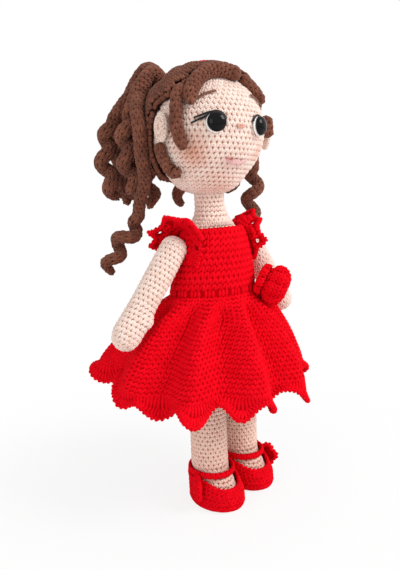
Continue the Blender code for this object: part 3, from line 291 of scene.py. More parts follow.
def stitch_tree():
    tree = bpy.data.node_groups.new("crochet_stitches", "GeometryNodeTree")
    for name, kind, value in STITCH_INPUTS:
        socket = tree.interface.new_socket(name, in_out="INPUT", socket_type=kind)
        if value is not None:
            socket.default_value = value
    tree.interface.new_socket("Geometry", in_out="OUTPUT", socket_type="NodeSocketGeometry")
    given = add(tree, "NodeGroupInput").outputs
    ball = add(tree, "GeometryNodeMeshUVSphere", None, {"Segments": 6, "Rings": 4, "Radius": 0.5}).outputs
    named = add(tree, "GeometryNodeStoreNamedAttribute", {"data_type": "FLOAT2", "domain": "CORNER"}, {
        "Geometry": ball["Mesh"], "Name": "ply", "Value": ball["UV Map"]})
    # The sphere's poles become the two ends of the leg, so it is laid along Y first
    laid = add(tree, "GeometryNodeTransform", None, {"Geometry": named, "Rotation": (pi / 2, 0, 0)})
    shape = add(tree, "ShaderNodeCombineXYZ", None, {0: given["Leg Width"], 1: given["Leg Length"], 2: 1.0})
    legs = []
    for side in (-1.0, 1.0):
        lean = maths(tree, "MULTIPLY_ADD", given["Lean"], -side, given["Slant"])
        turn = add(tree, "ShaderNodeCombineXYZ", None, {2: lean})
        across = maths(tree, "MULTIPLY", given["Spread"], side)
        place = add(tree, "ShaderNodeCombineXYZ", None, {0: across})
        legs.append(add(tree, "GeometryNodeTransform", None, {
            "Geometry": laid, "Translation": place, "Rotation": turn, "Scale": shape}))
    second = add(tree, "GeometryNodeSwitch", {"input_type": "GEOMETRY"}, {
        "Switch": given["Both Legs"], "True": legs[1]})
    pair = add(tree, "GeometryNodeJoinGeometry")
    feed(tree, pair, {0: legs[0]})
    feed(tree, pair, {0: second})
    places = add(tree, "GeometryNodeObjectInfo", {"transform_space": "ORIGINAL"}, {"Object": given["Places"]})
    turn, size = [
        add(tree, "GeometryNodeInputNamedAttribute", {"data_type": "FLOAT_VECTOR"}, {"Name": name})
        for name in ("turn", "size")
    ]
    low = maths(tree, "SUBTRACT", 1.0, given["Unevenness"])
    high = maths(tree, "ADD", 1.0, given["Unevenness"])
    chance = add(tree, "FunctionNodeRandomValue", {"data_type": "FLOAT"}, {2: low, 3: high, "Seed": given["Seed"]})
    scale = add(tree, "ShaderNodeVectorMath", {"operation": "SCALE"}, {0: size, "Scale": chance.outputs[1]})
    rotation = add(tree, "FunctionNodeEulerToRotation", None, {0: turn})
    placed = add(tree, "GeometryNodeInstanceOnPoints", None, {
        "Points": places.outputs["Geometry"], "Instance": pair, "Rotation": rotation, "Scale": scale})
    real = add(tree, "GeometryNodeRealizeInstances", None, {"Geometry": placed})
    smooth = add(tree, "GeometryNodeSetShadeSmooth", None, {"Geometry": real})
    dyed = add(tree, "GeometryNodeSetMaterial", None, {"Geometry": smooth, "Material": given["Yarn"]})
    whole = add(tree, "GeometryNodeJoinGeometry")
    feed(tree, whole, {0: given["Geometry"]})
    feed(tree, whole, {0: dyed})
    add(tree, "NodeGroupOutput", None, {0: whole})
    return tree


STITCHES = stitch_tree()
SOCKETS = {item.name: item.identifier for item in STITCHES.interface.items_tree if item.in_out == "INPUT"}
print("stitch tree inputs:", ", ".join(SOCKETS))

# %% [markdown]
# ## Rounds of stitches
# Crochet grows round by round. A surface here is a function of a turn and a height share, and the rounds
# are spaced evenly along it. Each round is divided into whole stitches, as a crocheter counts them, and
# each round starts half a stitch on from the one below, so the stitches nest.

# %% Even rounds on a surface
STEP = 1e-3  # of a surface's own parameters, for its slopes
RING_SAMPLES = 96
STITCH_WIDTH = 2.95 * MM
ROUND_PITCH = 2.8 * MM
STITCH_DEPTH = 2.0 * MM
dice = np.random.default_rng(11)


def square(across, normal):
    """A turn whose X lies across and whose Z is the normal."""
    return Matrix((across, normal.cross(across), normal)).transposed()


def facing(place, normal, up=Vector((0, 0, 1))):
    """A frame at a place whose Z is the normal and whose X lies level."""
    return Matrix.Translation(place) @ square(up.cross(normal).normalized(), normal).to_4x4()


def seat(surface, turn, rise, lift=0.0):
    """A frame on a surface: X along the round, Y to the next round, Z outwards."""
    across = surface(turn + STEP, rise) - surface(turn - STEP, rise)
    up = surface(turn, rise + STEP) - surface(turn, rise - STEP)
    normal = across.cross(up).normalized()
    return surface(turn, rise) + normal * lift, square(across.normalized(), normal)


def lengths(points):
    steps = [(b - a).length for a, b in zip(points, points[1:])]
    return np.concatenate([[0], np.cumsum(steps)])


def even_rounds(surface, low, high, pitch=ROUND_PITCH):
    """Height shares a round apart along one line of a surface, and the real distance between them."""
    shares = np.linspace(low, high, RING_SAMPLES)
    reach = lengths([surface(0, s) for s in shares])
    count = max(1, round(reach[-1] / pitch))
    middles = (np.arange(count) + 0.5) / count * reach[-1]
    return list(np.interp(middles, reach, shares)), reach[-1] / count


def rounds(surface, rises, pitch, width=STITCH_WIDTH, lift=-0.9 * MM, depth=STITCH_DEPTH, keep=None, span=None,
           stretched=0.0):
    """Places for the stitches of some rounds, each (place, turned, size).

    A stretched stitch spans that share of the surface's rise."""
    found = []
    low, high = span or (0, 2 * pi)
    turns = np.linspace(low, high, RING_SAMPLES + 1)
    for k, rise in enumerate(rises):
        reach = lengths([surface(t, rise) for t in turns])
        count = max(3, round(reach[-1] / width))
        if keep is None and span is None and reach[-1] < width:
            continue
        for j in range(count):
            along = (j + 0.5 * (k % 2 if span is None else 1)) / count
            turn = float(np.interp(along * reach[-1], reach, turns))
            if keep is None or keep(turn, rise):
                place, turned = seat(surface, turn, rise, lift)
                tall = pitch
                if stretched:
                    tall = (surface(turn, rise + stretched / 2) - surface(turn, rise - stretched / 2)).length
                found.append((place, turned, (reach[-1] / count, tall, depth)))
    return found


def worked(base, stitches, look, **sizes):
    """Sets stitches on an object with the stitch tree."""
    helper = bpy.data.meshes.new(f"{base.name}_places")
    helper.from_pydata([place + SHIFT for place, _, _ in stitches], [], [])
    for name, kind, field, values in (
        ("turn", "FLOAT_VECTOR", "vector", [v for _, turned, _ in stitches for v in turned.to_euler()]),
        ("size", "FLOAT_VECTOR", "vector", [v for _, _, size in stitches for v in size]),
        ("tone", "FLOAT", "value", dice.random(len(stitches))),
    ):
        helper.attributes.new(name, kind, "POINT").data.foreach_set(field, values)
    modifier = base.modifiers.new("stitches", "NODES")
    modifier.node_group = STITCHES
    modifier[SOCKETS["Places"]] = bpy.data.objects.new(helper.name, helper)
    modifier[SOCKETS["Yarn"]] = look
    for name, value in sizes.items():
        modifier[SOCKETS[name.replace("_", " ").title()]] = value


def plain_mesh(piece, helpers):
    """Turns an object and its modifiers into one plain mesh, and removes the helpers."""
    graph = bpy.context.evaluated_depsgraph_get()
    mesh = bpy.data.meshes.new_from_object(
        piece.evaluated_get(graph), preserve_all_data_layers=True, depsgraph=graph)
    piece.modifiers.clear()
    piece.data = mesh
    for helper in helpers:
        bpy.data.meshes.remove(helper.data)


def fixed(base):
    """Turns an object and its stitches into one plain mesh."""
    plain_mesh(base, [modifier[SOCKETS["Places"]] for modifier in base.modifiers])
    print(base.name, len(base.data.polygons), "faces")
    return base


def stands_for(piece, body, slot, *nodes):
    """Fixes a piece to its body and hides the plain model's pieces that it replaces; the slot, its finish, is not
    used.
    """
    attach(piece, body)
    if nodes:
        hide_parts(*nodes)


# %% Meshes under the stitches
def linked(name, mesh, look):
    mesh.name = name
    mesh.materials.append(look)
    mesh.shade_smooth()
    made = bpy.data.objects.new(name, mesh)
    scene.collection.objects.link(made)
    return made


def skin_of(name, rings, look, loop=False):
    """A closed mesh through rings of points, where a ring of one point is a pole."""
    bm = bmesh.new()
    rows = [[bm.verts.new(Vector(point) + SHIFT) for point in points] for points in rings]
    pairs = list(zip(rows, rows[1:]))
    if loop:
        pairs.append((rows[-1], rows[0]))
    for low, high in pairs:
        for i in range(max(len(low), len(high))):
            j = i + 1
            corners = (low[i % len(low)], low[j % len(low)], high[j % len(high)], high[i % len(high)])
            bm.faces.new(dict.fromkeys(corners))
    if not loop:
        for row in (rows[0], rows[-1]):
            if len(row) > 2:
                bm.faces.new(row)
    bmesh.ops.recalc_face_normals(bm, faces=bm.faces)
    mesh = bpy.data.meshes.new(name)
    bm.to_mesh(mesh)
    bm.free()
    return linked(name, mesh, look)


def bare(name, look):
    """An object with no mesh of its own, for stitches that lie on another piece."""
    return linked(name, bpy.data.meshes.new(name), look)


def ring_on(surface, rise, inset, count):
    return [seat(surface, 2 * pi * i / count, rise, -inset)[0] for i in range(count)]


def core(name, surface, look, rows, inset=1.2 * MM, count=48):
    """The closed form just under the stitches of a surface."""
    rings = [ring_on(surface, rise, inset, count) for rise in np.linspace(0, 1, rows)]
    ends = [[sum(ring, Vector()) / count] for ring in (rings[0], rings[-1])]
    return skin_of(name, [ends[0], *rings, ends[1]], look)


def stuffed(name, surface, looks, rows, body, nodes, fill, levels=(0.0, 1.0), count=48, shape=None, **places):
    """A padded form with its stitches: the looks are the stitches' yarn and a darker copy under them, painted shade
    between stitches.
    """
    piece = core(name, surface, looks[1], rows, count=count)
    rises, pitch = even_rounds(surface, *levels)
    worked(piece, rounds(surface, rises, pitch, **places), looks[0], **(shape or {}))
    stands_for(fixed(piece), body, "skin_yarn", *nodes)


def cloth(name, surface, look, rises, inset=0.9 * MM, wall=1.2 * MM, count=96):
    """A thin closed wall that follows a surface all the way round."""
    outer = [ring_on(surface, rise, inset, count) for rise in rises]
    inner = [ring_on(surface, rise, inset + wall, count) for rise in reversed(rises)]
    return skin_of(name, outer + inner, look, loop=True)


def dense(rows, count=80):
    """A smooth table through rows of numbers, for np.interp."""
    table = np.array(rows, float)
    table = np.vstack([2 * table[0] - table[1], table, 2 * table[-1] - table[-2]])
    found = []
    for u in np.linspace(0, len(rows) - 1, count):
        i = min(int(u), len(rows) - 2)
        t = u - i
        a, b, c, d = table[i : i + 4]
        found.append((2 * b + (c - a) * t + (2 * a - 5 * b + 4 * c - d) * t**2 + (3 * b - a - 3 * c + d) * t**3) / 2)
    return np.array(found)


def ease(share):
    share = min(max(share, 0), 1)
    return share * share * (3 - 2 * share)


def read(table, value, *columns):
    return [float(np.interp(value, table[:, 0], table[:, k])) for k in columns]


print("helpers ready")

# %% [markdown]
# ## Head
# The head is one crocheted ball, firmly stuffed, whose rounds lie level round the face. It is a sphere that
# sags a little under the cheeks, so its stitches sit on circles of latitude. Stitches that the hair cap
# hides are left out. The cheeks have a little blusher brushed on, which fades in the yarn's colour. The same
# colour is brushed heavier on the near cheek, away from the key lamp, and under the chin: painted shade.

# %% The ball, its blusher and painted shade
CHIN_SAG, CHIN_FROM, CHIN_OVER = 2.8 * MM, 38, 30
HEAD_LOW = -acos(5.8 / 31.0)
HEAD_TOP = radians(89)
CAP_EDGE_DEGREES = np.array((
    *((0, 64), (30, 63), (45, 55), (56, 43), (66, 33), (78, 25)),
    *((88, 21), (94, -8), (104, -32), (125, -46), (180, -54)),
), float)


def direction_to(azimuth, latitude):
    """A direction in the head's own frame, the azimuth from the face's middle to the doll's right."""
    flat = cos(latitude)
    return Vector((-flat * sin(azimuth), -flat * cos(azimuth), sin(latitude)))


def head_point(azimuth, latitude, radius=HEAD_RADIUS):
    """A point in the turned and tilted head."""
    return HEAD_FRAME @ (direction_to(azimuth, latitude) * radius)


def head_seat(azimuth, latitude, radius=HEAD_RADIUS):
    """A frame on the head, at angles in degrees, whose Z points outwards and whose Y points up the face."""
    place = head_point(radians(azimuth), radians(latitude), radius)
    return facing(place, (place - HEAD_CENTRE).normalized(), HEAD_FRAME.to_3x3() @ Vector((0, 0, 1)))


def head_surface(turn, rise):
    latitude = HEAD_LOW + (HEAD_TOP - HEAD_LOW) * rise
    sag = CHIN_SAG * ease((-degrees(latitude) - CHIN_FROM) / CHIN_OVER)
    return head_point(-turn, latitude, HEAD_RADIUS + sag)


def cap_edge(azimuth):
    """Latitude of the hair cap's edge."""
    turns = abs(degrees(atan2(sin(azimuth), cos(azimuth))))
    return radians(read(CAP_EDGE_DEGREES, turns, 1)[0])


def face_shows(turn, rise):
    return HEAD_LOW + (HEAD_TOP - HEAD_LOW) * rise < cap_edge(-turn) + radians(4)


# The first two spots are blusher on the cheeks, the near one made heavier as painted shade on the side away from the
# key lamp; the third, under the chin, is painted shade.
BLUSH_AND_SHADE_SPOTS = ((47, -24, 13.0, 0.75), (-36, -22, 9.0, 0.45), (10, -62, 14.0, 0.35))


def brush_blush_and_shade(look, spots):
    """Brushes colour into a yarn round places on the face, blusher and painted shade: azimuth, latitude, radius in mm
    and strength.
    """
    tree = look.node_tree
    shader = tree.nodes["Principled BSDF"]
    colour = shader.inputs["Base Color"].links[0].from_socket
    place = add(tree, "ShaderNodeTexCoord").outputs["Object"]
    for azimuth, latitude, radius, strength in spots:
        centre = head_point(radians(azimuth), radians(latitude)) + SHIFT
        away = add(tree, "ShaderNodeVectorMath", {"operation": "DISTANCE"}, {0: place, 1: centre})
        amount = add(tree, "ShaderNodeMapRange", {"interpolation_type": "SMOOTHSTEP"}, {
            "Value": away.outputs["Value"], "From Min": radius * MM, "From Max": 0.0, "To Max": strength})
        colour = add(tree, "ShaderNodeMix", {"data_type": "RGBA"}, {
            0: amount.outputs[0], 6: colour, 7: linear("dc9477")}).outputs[2]
    tree.links.new(colour, shader.inputs["Base Color"])


FACE = yarn("peach_cotton_yarn_with_blusher", "fbe8dd", "f1d2c3")
brush_blush_and_shade(FACE, BLUSH_AND_SHADE_SPOTS)
stuffed("head_skin_crochet", head_surface, (FACE, SKIN_PAINTED_SHADE), 40, "head", ("head_skin", "head_stuffing"), 0.95,
        count=64, keep=face_shows)

# %% [markdown]
# ## Eyes, lashes, brows, nose and mouth
# The eyes are domed black safety eyes over a small disc of white felt. Lid line and lashes are black thread
# couched on the face, and brows, nose and mouth are satin stitch: threads laid side by side. The stitch
# tree makes satin stitch too, with one straight leg in place of two leaning ones.


# %% Plain finishes of the face
CLOUD_SIZE = 3 * MM
GRAIN_SIZE = 0.3 * MM


def plain(name, colour, roughness, specular=0.5):
    """One colour with a fine uneven surface."""
    made, tree, shader, place = finish(name, roughness, specular)
    shade = add(tree, "ShaderNodeMapRange", None, {
        "Value": noise(tree, place, CLOUD_SIZE, 4.0), "To Min": 0.86, "To Max": 1.1})
    tint = add(tree, "ShaderNodeHueSaturation", None, {"Color": linear(colour), "Value": shade})
    bump = add(tree, "ShaderNodeBump", None, {
        "Strength": 0.25 * roughness, "Distance": 0.1 * MM, "Height": noise(tree, place, GRAIN_SIZE, 2.0)})
    feed(tree, shader, {"Base Color": tint, "Normal": bump})
    return made


BLACK = plain("black_safety_eye_plastic", "0a0a0b", 0.10, specular=0.15)
FELT = plain("white_wool_felt", "f4f2ee", 0.95)
LASH = yarn("black_embroidery_thread", "1c1a1a", "0b0a0a")
BROW = yarn("brown_embroidery_thread", "8a5742", "70412f")
LIP = yarn("pink_satin_thread", "f8d2cf", "efbdbb", sheen=0.4)
LIP_CORNER = yarn("rose_satin_thread", "cf7c80", "bd6468")
NOSE = yarn("peach_satin_thread", "e6ab96", "da9c87")
EYE_SIDE = 24.0
EYE_LIFT = 3.0
EYE_RADIUS = 4.9 * MM
EYE_SEAT = 1.5 * MM
EYE_BEAD = 0.2 * MM
EYE_DOME = 2.8 * MM
SHANK_RADIUS, SHANK_LENGTH = 1.5 * MM, 6 * MM
EYE_SIDES = 40
FELT_OUTLINE_MM = ((0, 0.5), (4.85, 0.5), (4.95, 0.9), (4.8, 1.35), (0, 1.4))


# %% Eyes and their felt
def turned_form(frame_in, outline, count):
    """Rings of a form turned about a frame's Z, from (radius, height) pairs."""
    rings = []
    for radius, height in outline:
        turns = [2 * pi * i / count for i in range(count)] if radius else [0]
        rings.append([frame_in @ Vector((radius * cos(a), radius * sin(a), height)) for a in turns])
    return rings


dome = [radians(a) for a in range(0, 90, 9)]
eye_outline = [
    *((0, -SHANK_LENGTH), (SHANK_RADIUS, -SHANK_LENGTH), (SHANK_RADIUS, EYE_SEAT), (0.94 * EYE_RADIUS, EYE_SEAT)),
    *[(EYE_RADIUS * cos(a), EYE_SEAT + EYE_BEAD + EYE_DOME * sin(a)) for a in dome],
    (0, EYE_SEAT + EYE_BEAD + EYE_DOME),
]
felt_outline = [(radius * MM, height * MM) for radius, height in FELT_OUTLINE_MM]
for side, sign in (("right", 1), ("left", -1)):
    seat_frame = head_seat(sign * EYE_SIDE, EYE_LIFT)
    felt_frame = seat_frame @ Matrix.Translation((-0.45 * MM, -0.35 * MM, 0))
    eye = skin_of(f"eye_{side}_dome", turned_form(seat_frame, eye_outline, EYE_SIDES), BLACK)
    stands_for(eye, "head", "eye_plastic", f"eye_{side}")
    felt = skin_of(f"eye_{side}_felt", turned_form(felt_frame, felt_outline, EYE_SIDES), FELT)
    stands_for(felt, "head", "eye_felt", f"eye_{side}_white")
print("eyes set at", EYE_SIDE, "degrees each side")


# %% Lid lines and lashes
def sides_of(way):
    """Two directions square to a path at each of its points, with no twist from one point to the next."""
    found, side = [], None
    for i in range(len(way)):
        along = (way[min(i + 1, len(way) - 1)] - way[max(i - 1, 0)]).normalized()
        side = along.orthogonal() if side is None else side - along * side.dot(along)
        side = side.normalized()
        found.append((side, along.cross(side)))
    return found


def strand(name, points, radii, look, sides=8):
    """A thread through points, thick as the radii say, with rounded ends."""
    table = dense([(i, *p, r) for i, (p, r) in enumerate(zip(points, radii))], 6 * len(points))
    way = [Vector(row[1:4]) for row in table]
    turns = [2 * pi * k / sides for k in range(sides)]
    rings = []
    for i, (side, other) in enumerate(sides_of(way)):
        radius = max(table[i][4], 0.1 * MM) * (0.55 if i in (0, len(way) - 1) else 1.0)
        rings.append([way[i] + side * radius * cos(a) + other * radius * sin(a) for a in turns])
    return skin_of(name, [[way[0]], *rings, [way[-1]]], look)


def joined(name, pieces):
    """Several objects as one, each with its own finish."""
    with bpy.context.temp_override(active_object=pieces[0], selected_editable_objects=pieces):
        bpy.ops.object.join()
    pieces[0].name = name
    pieces[0].data.name = name
    return pieces[0]


def on_face(seat_frame, x, y, lift):
    """A point at (x, y) in a flat frame on the face, laid down on the ball."""
    point = seat_frame @ Vector((x, y, 0))
    return HEAD_CENTRE + (point - HEAD_CENTRE).normalized() * (HEAD_RADIUS + lift)


LID_SHARES = ((0.98, 0.32), (0.84, 0.62), (0.56, 0.90), (0.18, 1.05), (-0.22, 1.05), (-0.62, 0.90), (-0.90, 0.62))
LASH_SHARES = (
    ((0.30, 1.03), (-0.35, 1.02), (-1.0, 0.86), (-1.7, 0.64), (-2.35, 0.42)),
    ((-0.90, 0.62), (-1.3, 0.44), (-2.0, 0.14), (-2.7, -0.14)),
)
LID_TIP, LASH_ROOT, LASH_TIP, LASH_LIFT = 0.60 * MM, 0.65 * MM, 0.42 * MM, 0.75 * MM
for side, sign in (("right", 1), ("left", -1)):
    seat_frame = head_seat(sign * EYE_SIDE, EYE_LIFT)
    threads = []
    for k, route in enumerate((LID_SHARES, *LASH_SHARES)):
        points = [on_face(seat_frame, sign * x * EYE_RADIUS, y * EYE_RADIUS, LASH_LIFT) for x, y in route]
        thick = np.linspace(LASH_ROOT, LASH_TIP if k else LID_TIP, len(points))
        threads.append(strand(f"lash_{side}_{k}", points, thick, LASH))
    stands_for(joined(f"lid_and_lashes_{side}", threads), "head", "lash_thread", f"eyelashes_{side}")
print("lids and lashes laid")


# %% Satin stitch
def satin(name, seat_frame, ends, look, lift, width):
    """Threads side by side, each from one (x, y) to another on the face."""
    stitches = []
    for (x0, y0), (x1, y1) in ends:
        low, high = on_face(seat_frame, x0, y0, lift), on_face(seat_frame, x1, y1, lift)
        middle = (low + high) / 2
        normal = (middle - HEAD_CENTRE).normalized()
        along = (high - low).normalized()
        across = along.cross(normal).normalized()
        turned = Matrix((across, along, across.cross(along))).transposed()
        stitches.append((middle, turned, (width, (high - low).length, 0.9 * MM)))
    piece = bare(name, look)
    worked(piece, stitches, look, both_legs=False, lean=0.0, slant=0.0, spread=0.0, leg_width=1.0, leg_length=1.0)
    return fixed(piece)


def lip_ends(width, height, top, count):
    """Thread ends across a lip that is nearly flat above and round below."""
    ends = []
    for i in range(count):
        s = (i + 0.5) / count * 2 - 1
        tall = height * (1 - s * s) + 0.4 * MM
        high = top * (0.8 + 0.2 * cos(3 * pi * s))
        ends.append(((s * width / 2, high - tall), (s * width / 2, high)))
    return ends


BROW_SIDE, BROW_LIFT, BROW_THREADS = 34.0, 29.0, 13
THREAD_LIFT = 0.8 * MM
for side, sign in (("right", 1), ("left", -1)):
    ends = []
    for s in np.linspace(0, 1, BROW_THREADS):
        x, y = -5.6 + 8.2 * s, -2.7 + 4.4 * s + 0.4 * sin(pi * s)
        reach, drop = 2.4, 1.3 - 0.2 * s
        ends.append(((sign * x * MM, (y - drop * 0.2) * MM), (sign * (x + reach) * MM, (y + drop) * MM)))
    brow = satin(f"eyebrow_{side}_satin", head_seat(sign * BROW_SIDE, BROW_LIFT), ends, BROW, 0.7 * MM, 1.7 * MM)
    stands_for(brow, "head", "brow_thread", f"eyebrow_{side}")

mouth_frame = head_seat(-2.3, -32)
lips = satin("mouth_satin", mouth_frame, lip_ends(13.8 * MM, 2.9 * MM, 1.7 * MM, 21), LIP, THREAD_LIFT, 0.95 * MM)
corner_ends = [((-7.8 * MM, 2.0 * MM), (-4.6 * MM, 1.2 * MM)), ((-5.6 * MM, 1.5 * MM), (-2.6 * MM, 1.0 * MM))]
corner = satin("mouth_corner_satin", mouth_frame, corner_ends, LIP_CORNER, 1.1 * MM, 0.8 * MM)
stands_for(joined("mouth_satin", [lips, corner]), "head", "mouth_thread", "mouth")
nose_ends = (((-2.8 * MM, 0.5 * MM), (2.8 * MM, 0.5 * MM)), ((-2.6 * MM, -0.5 * MM), (2.5 * MM, -0.45 * MM)))
nose = satin("nose_satin", head_seat(0, 1), nose_ends, NOSE, THREAD_LIFT, 1.0 * MM)
stands_for(nose, "head", "nose_thread", "nose")
print("face embroidered")

# %% [markdown]
# ## Rounded pieces: ears, flowers, rosette and knot
# Small parts are worked as discs from the middle outwards. One function gives them all: a profile from the
# back to the front, scalloped where the piece has petals.


# %% A disc, plain or scalloped
def disc_surface(seat_frame, profile, half_width, half_height, thickness, petals=0, notch=0.0):
    """A surface from the back of a disc over its rim to the middle of its front."""
    table = dense([(k / (len(profile) - 1), *pair) for k, pair in enumerate(profile)])

    def surface(turn, rise):
        up, out = read(table, rise, 1, 2)
        scallop = 1 - notch * (1 - abs(sin(petals * turn / 2))) if petals else 1
        reach = max(out, 0.01) * scallop
        local = (half_width * reach * cos(turn), half_height * reach * sin(turn), up * thickness)
        return seat_frame @ Vector(local)

    return surface


def disc_piece(name, surface, looks, body, node, slot, pitch=2.4 * MM, width=2.5 * MM, rows=32):
    """A crocheted disc with its stitches, which stands for its CAD node."""
    piece = core(name, surface, looks[1], rows, 1.0 * MM, 72)
    levels, real_pitch = even_rounds(surface, 0.02, 0.97, pitch)
    worked(piece, rounds(surface, levels, real_pitch, width, -0.7 * MM, 1.9 * MM), looks[0])
    stands_for(fixed(piece), body, slot, node)


EAR_PROFILE = ((0.0, 0.62), (0.25, 0.92), (0.6, 1.0), (0.88, 0.78), (0.98, 0.45), (1.0, 0.10))
for side, sign in (("right", 1), ("left", -1)):
    seat_frame = head_seat(sign * 74.5, -1.0) @ Matrix.Translation((0, 0, 0.6 * MM))
    surface = disc_surface(seat_frame, EAR_PROFILE, 4.3 * MM, 7.2 * MM, 4.6 * MM)
    disc_piece(f"ear_{side}_crochet", surface, (SKIN, SKIN), "head", f"ear_{side}", "skin_yarn", 2.1 * MM, 2.2 * MM)
print("ears sewn on")

# %% [markdown]
# ## Body and dress formulas
# The trunk, the bodice over it and the skirt below share one table of half widths and half depths, as in
# the CAD model, so the dress follows the body with even room between them.

# %% Slices of the trunk
BODY_Y = -1.0 * MM
WAIST, HIP, NECKLINE = 115.0 * MM, 78.0 * MM, 151.0 * MM
BODY_SLICE_SHARES = (
    *((0.00, 1.13, 0.88), (0.10, 1.15, 1.00), (0.25, 1.12, 1.04), (0.40, 1.02, 1.00), (0.52, 0.97, 0.96)),
    *((0.68, 1.00, 0.98), (0.84, 0.99, 0.98), (0.94, 0.88, 0.89), (1.00, 0.72, 0.76)),
)
NECK_SLICE_SHARES = ((0.16, 1.32), (0.36, 1.09), (0.62, 1.0), (1.0, 1.0))
slices = [(HIP + s * (NECKLINE - HIP), 19.0 * MM * w, 13.2 * MM * d) for s, w, d in BODY_SLICE_SHARES]
slices += [(NECKLINE + s * (NECK_TOP - NECKLINE), 8.3 * MM * r, 8.3 * MM * r) for s, r in NECK_SLICE_SHARES]
BODY_TABLE = dense(slices, 120)


def body_y(height):
    """The middle of the body leans back from the waist to the neck."""
    return BODY_Y + (NECK_Y - BODY_Y) * ease((height - WAIST) / (NECK_TOP - WAIST))


def body_point(turn, height, outset=0.0):
    """A point outside the body, at a distance measured square to its sloping skin."""
    half_width, half_depth = read(BODY_TABLE, height, 1, 2)
    low, high = read(BODY_TABLE, height - 2 * MM, 1)[0], read(BODY_TABLE, height + 2 * MM, 1)[0]
    out = outset * hypot(1, (high - low) / (4 * MM))
    return Vector(((half_width + out) * cos(turn), body_y(height) + (half_depth + out) * sin(turn), height))


def trunk_surface(turn, rise):
    return body_point(turn, HIP + rise * (NECK_TOP - HIP))


SHOULDER_Y, SHOULDER_HEIGHT, ARMHOLE_RADIUS = 4.0 * MM, 140.5 * MM, 4.8 * MM


def beside_armhole(place, room):
    return hypot(place.y - SHOULDER_Y, place.z - SHOULDER_HEIGHT) > ARMHOLE_RADIUS + room


def trunk_shows(turn, rise):
    place = trunk_surface(turn, rise)
    return place.z > NECKLINE - 3 * MM or not beside_armhole(place, 2 * MM)


trunk_low = (SHOULDER_HEIGHT - ARMHOLE_RADIUS - HIP) / (NECK_TOP - HIP)
stuffed("torso_crochet", trunk_surface, (SKIN, SKIN_PAINTED_SHADE), 44, "torso", ("torso_skin", "torso_stuffing"), 0.9,
        (trunk_low, 1.01, 2.5 * MM), width=2.6 * MM, keep=trunk_shows)

# %% [markdown]
# ## Legs and arms
# Each limb is a stuffed tube of skin yarn, on the legs made pinker as painted shade under the skirt. The legs show
# smooth columns with a small hole between stitches.
# The hand is the closed end of the arm, a little wider, with a thumb that pushes out of its front.

# %% Legs
FOOT_LOW = 2.3 * MM
STRIDE = 3.6 * MM  # the right foot stands a little in front of the left
ANKLE = 21.0 * MM
LEG_RADIUS, LEG_SPREAD, FOOT_SPREAD = 10.3 * MM, 11.2 * MM, 14.0 * MM
FOOT_HALF_LENGTH, FOOT_HALF_WIDTH, FOOT_FORWARD = 14.6 * MM, 10.2 * MM, 5.5 * MM
FOOT_SLICE_SHARES = (
    *((0.00, 0.88, 0.90, 1.00), (0.12, 1.00, 1.00, 1.00), (0.36, 0.99, 1.00, 0.95)),
    *((0.57, 0.87, 0.97, 0.68), (0.78, 0.75, 0.93, 0.24)),
)
FOOT_TABLE = [
    (FOOT_LOW + s * (ANKLE - FOOT_LOW), w * FOOT_HALF_WIDTH, n * FOOT_HALF_LENGTH, f * FOOT_FORWARD)
    for s, n, w, f in FOOT_SLICE_SHARES
]
FOOT_TABLE = np.array([*FOOT_TABLE, (ANKLE, LEG_RADIUS, LEG_RADIUS, 0)])


def foot_point(sign, turn, height, outset=0.0):
    half_width, half_length, forward = read(FOOT_TABLE, height, 1, 2, 3)
    share_up = min(max((height - ANKLE) / (HIP - ANKLE), 0), 1)
    x = sign * (FOOT_SPREAD + (LEG_SPREAD - FOOT_SPREAD) * share_up) + (half_width + outset) * cos(turn)
    middle = BODY_Y - forward + sign * STRIDE * (1 - share_up)
    return Vector((x, middle + (half_length + outset) * sin(turn), height))


def leg_surface(sign):
    return lambda turn, rise: foot_point(sign, turn, FOOT_LOW + rise * (HIP - FOOT_LOW))


leg_low = (8 * MM - FOOT_LOW) / (HIP - FOOT_LOW)
# The legs' pinker yarn is painted shade from the skirt above them.
for side, sign in (("right", -1), ("left", 1)):
    nodes = (f"leg_{side}_skin", f"leg_{side}_stuffing")
    stuffed(f"leg_{side}_crochet", leg_surface(sign), (SHADED_LEG_YARN, LEG_PAINTED_SHADE), 40, "torso", nodes, 0.95,
            (leg_low, 0.99, 2.25 * MM), shape={"lean": 0.28, "slant": -0.10}, width=3.0 * MM, depth=1.9 * MM)

# %% Arms
ARM_HAND_RADIUS, ARM_LENGTH = 7.8 * MM, 51.5 * MM
ARM_SLICE_SHARES = (
    *((-0.128, 0.05), (-0.118, 0.42), (-0.095, 0.68), (-0.045, 0.89), (0.02, 0.935), (0.30, 0.95)),
    *((0.62, 0.92), (0.84, 0.97), (1.00, 1.00), (1.10, 0.80), (1.15, 0.42), (1.165, 0.05)),
)
ARM_TABLE = dense([(k, s * ARM_LENGTH, r * ARM_HAND_RADIUS) for k, (s, r) in enumerate(ARM_SLICE_SHARES)], 120)
ARM_SPREAD = radians(38.5)
SHOULDER_PIVOTS = {side: Vector(JOINTS[f"arm_{side}_swing"]["pos_m"]) - SHIFT for side in ("right", "left")}
THUMB_RISE, THUMB_WIDTH = 2.1 * MM, 2.7 * MM


